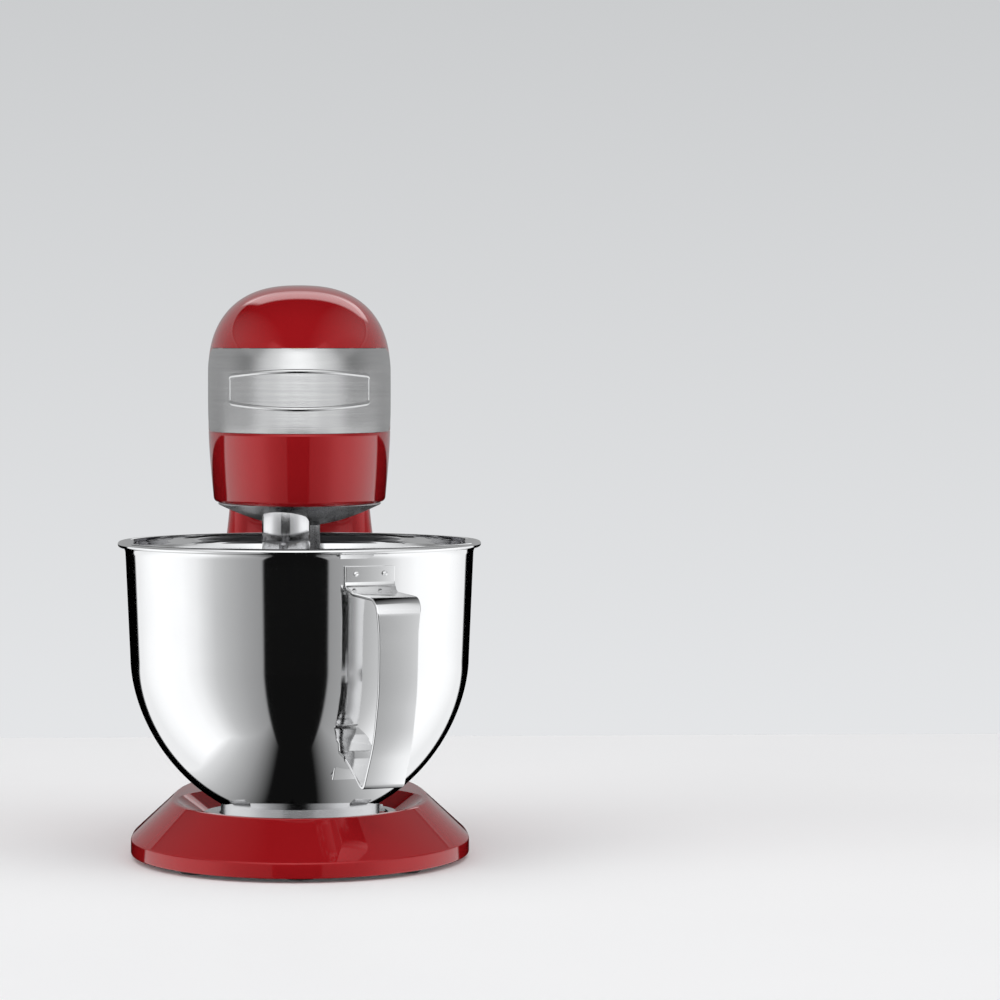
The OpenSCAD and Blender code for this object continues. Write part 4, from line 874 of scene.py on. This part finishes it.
path = [Vector((x, head_front_y(x, band_proud), badge_z + z)) for x, z in badge_edge()]
beads = []
for k, at in enumerate(path):
    along = (path[(k + 1) % len(path)] - path[k - 1]).normalized()
    slope = (head_front_y(at.x + 1e-4) - head_front_y(at.x - 1e-4)) / 2e-4
    out = Vector((slope, -1, 0)).normalized()
    side = along.cross(out).normalized()
    round_bead = [(math.cos(math.tau * i / 20), math.sin(math.tau * i / 20)) for i in range(20)]
    beads.append([tuple(at + side * bead_half * c + out * ((bead_high if s > 0 else bead_deep) * s))
                  for c, s in round_bead])
badge = lofted("badge_bead", beads, closed=True, crease=60)
front_band = joined("nose_band", [band, badge])
fitted(front_band, brushed_steel, "front_cover", "front_band")
coat(black_moulding, "band_backing")

# --- Planetary -------------------------------------------------------------------------------
# A turned grey alloy dome spins under the head with a boss at its middle. The bright plated
# sleeve that hangs from it carries the tool shaft off-centre.

turned_alloy = metal_finish("turned_alloy", (0.50, 0.50, 0.51), 0.22, 0.34, grain=1200, depth=0.12)
dome_radius, boss_radius, dome_low, boss_low, bore_radius, carrier_high = 0.051, 0.0128, 0.2095, 0.193, 0.0062, 0.227
tool_offset, tool_turn = 0.028125, math.radians(-107.5)
tool_x, tool_y = on_circle(tool_offset, tool_turn)
sleeve_radius, sleeve_low, sleeve_high = 0.015, 0.176, 0.2198

dome_path = [(bore_radius, boss_low + 0.006), (bore_radius, boss_low)] + rounded(
    [(bore_radius, boss_low, 0), (boss_radius, boss_low, 0.0016), (boss_radius, dome_low + 0.0002, 0.0008),
     (boss_radius + 0.002, dome_low, 0)], 6)
dome_path += [(boss_radius + (dome_radius - boss_radius) * t, dome_low + (head_floor - 0.001 - dome_low) * t ** 1.5)
              for t in (k / 28 for k in range(2, 29))]
dome_path += rounded([(dome_radius, head_floor - 0.001, 0), (dome_radius, head_floor + 0.0015, 0.0006),
                      (dome_radius - 0.005, head_floor + 0.003, 0.0006),
                      (dome_radius - 0.005, carrier_high, 0), (bore_radius, carrier_high, 0)], 4)
dome = cut(turned("planetary_dome", dome_path, steps=192, crease=35), "DIFFERENCE", [
    rod("sleeve_seat", point(tool_x, tool_y, 0.19), point(tool_x, tool_y, 0.22), sleeve_radius + 0.00002),
    rod("shaft_way", point(tool_x, tool_y, 0.19), point(tool_x, tool_y, 0.25), 0.00805)], 35)
fitted(dome, turned_alloy, "planetary", "planet_carrier")

sleeve = turned("tool_sleeve", rounded([
    (0.0135, sleeve_low, 0.0003), (sleeve_radius - 0.0002, sleeve_low, 0.0006), (sleeve_radius, 0.178, 0),
    (sleeve_radius, sleeve_high, 0), (0.008, sleeve_high, 0), (0.008, sleeve_low + 0.008, 0),
    (0.0135, sleeve_low + 0.008, 0)], 4),
    mixing_y + tool_y, tool_x, 96)
fitted(sleeve, bright_chrome, "planetary", "drive_sleeve")
coat(machined_steel, "tool_shaft")

# --- Flat beater -----------------------------------------------------------------------------
# One burnished aluminium casting: a leaf-shaped loop of flattened bar with a centre rib and two
# cross bars. Its socket hooks on the tool shaft's cross pin with a bayonet slot.

burnished = metal_finish("burnished_casting", (0.56, 0.56, 0.57), 0.2, 0.34, grain=260, depth=0.25)
beater_low, beater_top, beater_half_width, bar_half, bar_thick = 0.0415, 0.150, 0.048, 0.0045, 0.0040


def beater_half(share):
    return beater_half_width * math.sin(math.radians(180 * share ** 0.62 * 0.86 + 12)) ** 0.75


def swept(name, path, across, thick, closed, power=2.6, steps=20):
    """A bar of flattened round section along a path in the beater's plane."""
    rings = []
    for k, at in enumerate(path):
        before = path[k - 1] if closed or k else at
        after = path[(k + 1) % len(path)] if closed or k < len(path) - 1 else at
        along = Vector((after[0] - before[0], after[1] - before[1])).normalized()
        side = Vector((-along.y, along.x))
        ring = []
        for i in range(steps):
            c, s = math.cos(math.tau * i / steps), math.sin(math.tau * i / steps)
            u = across * math.copysign(abs(c) ** (2 / power), c)
            v = thick * math.copysign(abs(s) ** (2 / power), s)
            ring.append(point(tool_x + at[0] + side.x * u, tool_y + v, at[1] + side.y * u))
        rings.append(ring)
    return lofted(name, rings, closed=closed, crease=60)


right = [(beater_half(s) - bar_half, beater_low + bar_half + (beater_top - beater_low - bar_half) * s)
         for s in (k / 36 for k in range(37))]
loop = [(-x, z) for x, z in reversed(right[1:])] + [(x, beater_low + bar_half) for x in (-0.005, 0.005)] + right[1:]
bars = [swept("loop", loop, bar_half, bar_thick, False),
        swept("rib", [(0, beater_low + 0.004), (0, beater_top)], 0.0042, 0.0034, False)]
for height in (beater_low + 0.037, beater_low + 0.071):
    reach = beater_half((height - beater_low) / (beater_top - beater_low)) - 0.006
    bars.append(swept("cross_bar", [(-reach, height), (reach, height)], 0.003, 0.003, False))
socket = cut(turned("socket", rounded([
    (0.00605, beater_top - 0.013, 0), (0.0085, beater_top - 0.014, 0.002), (0.0125, beater_top - 0.006, 0.004),
    (0.0125, 0.1750, 0.0015),
    (0.00605, 0.1750, 0.0006), (0.00605, 0.160, 0)], 5), mixing_y + tool_y, tool_x, 80), "DIFFERENCE", [
    block("slot", point(tool_x - 0.0022, tool_y - 0.02, 0.1635), point(tool_x + 0.0022, tool_y + 0.02, 0.19))])
beater = joined("beater_casting", [socket, *bars])
fitted(beater, burnished, "tool", "flat_beater")

# --- Bowl ------------------------------------------------------------------------------------
# Deep-drawn stainless steel, mirror-polished outside, with a rolled bead round its rim. A short
# foot ring under it has three lugs that turn and lock in the seat.


def polished_finish(name, low, high):
    steel = Finish(name, Base_Color=(0.80, 0.80, 0.80, 1), Metallic=1.0, Roughness=0.06)
    rings = steel.noise(1.0, 3, (14, 14, 900), rough=0.6)
    smear = steel.noise(26, 3)
    return steel.feed(Base_Color=steel.mixed(smear, (0.76, 0.76, 0.765, 1), (0.83, 0.83, 0.83, 1)),
                      Roughness=steel.spread(rings, low, high), Normal=steel.ripple(rings, 0.02, 0.0001))


polished_steel = polished_finish("polished_steel", 0.035, 0.085)
rim_z, bowl_radius, bowl_wall, bead_radius = 0.199, 0.1093, 0.0012, 0.0019
wall_top, belly_height, bowl_floor, belly_radius = 0.189, 0.125, 0.034, 0.1065


def bowl_outside(z):
    if z > belly_height:
        return belly_radius + (bowl_radius - belly_radius) * (z - belly_height) / (wall_top - belly_height)
    return belly_radius * max(0, 1 - ((belly_height - z) / (1.155 * (belly_height - bowl_floor))) ** 1.8) ** 0.5


bowl_heights = [bowl_floor + (belly_height - bowl_floor) * (1 - math.cos(math.pi / 2 * k / 60)) for k in range(61)]
outside = [(bowl_outside(z), z) for z in bowl_heights]
outside += [(bowl_outside(z), z) for z in levels(belly_height + 0.004, wall_top - 0.002, 16)]
bead_at = (bowl_radius + 0.003, rim_z - bead_radius)
lip = rounded([(bowl_outside(wall_top - 0.001), wall_top - 0.001, 0), (bowl_radius + 0.0002, wall_top + 0.004, 0.010),
               (bead_at[0] - bead_radius * 0.7, bead_at[1] - bead_radius * 0.75, 0)], 8)
bead = [on_circle(bead_radius, math.radians(-125 + 260 * k / 24), bead_at) for k in range(25)]
inside = [(r - bowl_wall * (0.95 if z > 0.05 else 0.6), z + (0 if z > 0.06 else bowl_wall * (0.06 - z) / 0.026))
          for r, z in reversed(outside + lip[1:])]
foot_edge = rounded([(0.03, bowl_floor, 0), (outside[0][0], bowl_floor, 0.003), outside[4] + (0,)], 6)
profile = [(0.0004, bowl_floor)] + foot_edge[1:-1] + outside[4:] + lip[1:] + bead + inside[:-4]
profile += [(outside[0][0] - 0.006, bowl_floor + bowl_wall), (0.0004, bowl_floor + bowl_wall)]
bowl = turned("drawn_bowl", profile, steps=256, crease=60)
fitted(bowl, polished_steel, "bowl", "bowl")
coat(turned_steel, "bowl_foot")

# --- Bowl handle -----------------------------------------------------------------------------
# One strip of polished stainless, bent in a press: a plate spot-welded under the rim, a grip that
# narrows a little to the waist, and a tab that turns back to the bowl near its foot.

handle_turn = math.radians(22.7 - 90)
grip_path = rounded([
    (0.1112, 0.1880, 0), (0.1104, 0.1760, 0.0045), (0.1180, 0.1716, 0.004), (0.1530, 0.1700, 0.0085),
    (0.1525, 0.1400, 0.10),
    (0.1515, 0.1150, 0.10), (0.1440, 0.0830, 0.08), (0.1290, 0.0535, 0.0045), (0.1040, 0.0690, 0.10),
    (0.0870, 0.0745, 0.0030), (0.0800, 0.0560, 0)], 10)


def handle_half(z, r):
    if z > 0.174:
        return 0.0165
    if r < 0.100:
        return 0.0120
    blend = min(1, max(0, (z - 0.150) / 0.022))
    return 0.0128 + 0.0010 * ((z - 0.11) / 0.05) ** 2 * 0.5 + 0.0016 * blend


def handle_strip():
    fine = divided(grip_path, 0.003) + [grip_path[-1]]
    rings, thick, edge = [], 0.00105, 0.0006
    for k, (r, z) in enumerate(fine):
        before, after = fine[max(0, k - 1)], fine[min(len(fine) - 1, k + 1)]
        along = Vector((after[0] - before[0], after[1] - before[1])).normalized()
        out = Vector((-along.y, along.x))
        half = handle_half(z, r)
        section = []
        for corner_u, corner_v, start in ((half - edge, thick - edge, 0), (-half + edge, thick - edge, 90),
                                          (-half + edge, -thick + edge, 180), (half - edge, -thick + edge, 270)):
            for i in range(5):
                section.append(on_circle(edge, math.radians(start + 90 * i / 4), (corner_u, corner_v)))
        rows = []
        for u, v in section:
            # the plate and the tab follow the bowl's round, and the grip is flat across
            rr, zz = r + out.x * v, z + out.y * v
            if z > 0.1735 or r < 0.0905:
                rows.append((*on_circle(rr, u / max(rr, 0.01)), zz))
            else:
                rows.append((rr, u, zz))
        rings.append([(x * math.cos(handle_turn) - y * math.sin(handle_turn),
                       mixing_y + x * math.sin(handle_turn) + y * math.cos(handle_turn), z2)
                      for x, y, z2 in rows])
    return lofted("strap_handle", rings, crease=40)


strap = handle_strip()
welds = []
for turn in (-0.085, 0.085):
    spot = turned("weld", rounded([
        (0.0001, -0.0004, 0), (0.0016, -0.0004, 0), (0.0014, 0.0003, 0.0003), (0.0009, 0.0004, 0.0002),
        (0.0001, 0.0001, 0)], 3), 0, 0, 32)
    a = handle_turn + turn
    spot.data.transform(Matrix.Translation(point(*on_circle(0.11215, a), 0.1835))
                        @ Matrix.Rotation(a, 4, "Z") @ Matrix.Rotation(math.pi / 2, 4, "Y"))
    welds.append(spot)
handle = joined("strap_handle", [strap, *welds])
fitted(handle, polished_finish("polished_strap", 0.07, 0.15), "bowl", "bowl_handle")

# --- Studio ----------------------------------------------------------------------------------
# A pale floor before a plain backdrop, two soft lights in front to each side and one overhead. The
# polished steel and the enamel mirror bright side panels, a dark middle and a window overhead.

floor_finish = Finish("pale_floor", Base_Color=(0.90, 0.90, 0.90, 1), Roughness=0.5, Specular_IOR_Level=0.1)
floor_cloud = floor_finish.noise(2.2, 4)
floor_finish.feed(Base_Color=floor_finish.mixed(floor_cloud, (0.87, 0.87, 0.88, 1), (0.92, 0.92, 0.92, 1)))
floor_back = mixing_y + 0.80
studio_floor = mesh_piece("studio_floor", [(-6, -6, 0), (6, -6, 0), (6, floor_back, 0), (-6, floor_back, 0)],
                          [(0, 1, 2, 3)])
studio_floor.data.materials.append(floor_finish.material)
studio_floor.visible_glossy = False


class Surroundings(Finish):
    """What stands round the mixer, as a brightness for each direction (across, along, rise)."""

    def __init__(self, world):
        world.use_nodes = True
        self.tree = world.node_tree

    def between(self, value, low, high, soft=0.02):
        """1 where the value lies between low and high, 0 elsewhere, with soft edges."""
        up = self.node("ShaderNodeMapRange", inputs={"Value": value, "From Min": low - soft, "From Max": low + soft})
        down = self.node("ShaderNodeMapRange",
                         inputs={"Value": value, "From Min": high - soft, "From Max": high + soft,
                                 "To Min": 1.0, "To Max": 0.0})
        return up * down

    def shine(self, colour, strength=1.0):
        return self.node("ShaderNodeBackground", inputs={"Color": colour, "Strength": strength})


world = bpy.data.worlds.new("studio")
bpy.context.scene.world = world
around = Surroundings(world)
toward = around.node("ShaderNodeTexCoord", output="Generated")
across, along, rise = (around.node("ShaderNodeSeparateXYZ", inputs={0: toward}, output=k) for k in range(3))
sideways = around.node("ShaderNodeMath", {"operation": "ABSOLUTE"}, {0: across + 0.05})
turn = around.node("ShaderNodeMath", {"operation": "ARCTAN2"}, {0: sideways, 1: along * -1.0}) * (1 / math.pi)
low_tones = ((0, 0.006), (20.9, 0.006), (22.2, 0.35), (34, 0.43), (48, 0.57), (56, 0.68), (64, 0.87), (72, 1.08),
             (84, 1.25), (110, 1.32), (124, 1.2), (136, 1.05), (180, 1.0))
down_tones = ((0.17, 0.006), (0.27, 0.19), (0.37, 0.36), (0.56, 0.61), (0.72, 0.89), (0.83, 1.32))
high_tones = ((0, 1.6), (30, 1.35), (42, 1.12), (54, 1.0), (66, 0.9), (79, 0.67), (90, 0.40), (101, 0.27),
              (112, 0.32), (131, 0.42), (180, 0.36))
low_panels, high_panels = (around.node("ShaderNodeValToRGB", {"stops": [(a / 180, (v, v, v, 1)) for a, v in tones]},
                                       {"Fac": turn})
                           for tones in (low_tones, high_tones))
below = around.node("ShaderNodeMath", {"operation": "MAXIMUM"}, {0: rise * -1.0, 1: 0.001})
steepness = around.node("ShaderNodeMath", {"operation": "DIVIDE"}, {0: sideways, 1: below})
down_panels = around.node("ShaderNodeValToRGB", {"stops": [(a, (v, v, v, 1)) for a, v in down_tones]},
                          {"Fac": steepness})
bench = around.node("ShaderNodeMath", {"operation": "MINIMUM"}, {0: low_panels, 1: down_panels}) * around.between(
    turn + rise * 0.25, -1.0, 0.767, 0.007)
high_window = around.between(across, -0.2, 0.36) * around.between(along, 0.85, 0.935, 0.01) * (rise > 0.3) * 1.1
in_front = around.between(rise, 0.36, 0.86, 0.02) * (along < 0.0)
side_walls = around.between(sideways, 0.45, 2.0, 0.22) * around.between(rise, 0.36, 2.0, 0.03) * 0.45
seen_by_gloss = (bench * (rise < -0.045) + high_panels * around.between(rise, -0.045, 0.36, 0.001)
                 + high_panels * in_front + side_walls * (1.0 - in_front) + high_window)
height = around.node("ShaderNodeMapRange", inputs={"Value": rise, "From Min": -0.09, "From Max": 0.08})
backdrop = around.shine(around.mixed(height, (0.775, 0.785, 0.80, 1), (0.60, 0.61, 0.62, 1)))
room = around.shine((0.30, 0.30, 0.305, 1))
gloss = around.shine((0.98, 0.99, 1.0, 1), seen_by_gloss)
glossy_ray, camera_ray = (around.node("ShaderNodeLightPath", output=f"Is {kind} Ray") for kind in ("Glossy", "Camera"))
bounced = around.node("ShaderNodeMixShader", inputs={0: glossy_ray, 1: room, 2: gloss})
all_rays = around.node("ShaderNodeMixShader", inputs={0: camera_ray, 1: bounced, 2: backdrop})
around.tree.links.new(all_rays.socket, around.tree.nodes["World Output"].inputs[0])
for piece in (base_casting, pedestal, top_cover, housing, rubber_feet, plate_screw_set, seat_screw_set,
              cad["base_plate"], cad["bowl_seat"]):
    piece.visible_glossy = False


def soft_light(name, place, width, height, power):
    lamp = bpy.data.lights.new(name, "AREA")
    lamp.shape, lamp.size, lamp.size_y, lamp.energy = "RECTANGLE", width, height, power
    holder = bpy.data.objects.new(name, lamp)
    bpy.context.scene.collection.objects.link(holder)
    holder.location = place
    holder.rotation_euler = (Vector((0, mixing_y, 0.2)) - Vector(place)).to_track_quat("-Z", "Y").to_euler()
    holder.visible_camera = holder.visible_glossy = False


soft_light("left_soft_light", (-4.0, mixing_y - 2.3, 1.8), 4.8, 3.8, 88)
soft_light("right_soft_light", (4.0, mixing_y - 2.3, 1.8), 4.8, 3.8, 80)
soft_light("overhead_soft_light", (0, -0.2, 4.6), 6.0, 6.0, 168)

camera = bpy.data.objects.new("camera", bpy.data.cameras.new("camera"))
bpy.context.scene.collection.objects.link(camera)
bpy.context.scene.camera = camera
camera.location = (0, mixing_y - 2.665, 0.325)
camera.rotation_euler = (Vector((0.1263, mixing_y, 0.2242)) - camera.location).to_track_quat("-Z", "Y").to_euler()
camera.data.sensor_width = 36
camera.data.lens = 152.3

bpy.context.scene.view_settings.view_transform = "Standard"
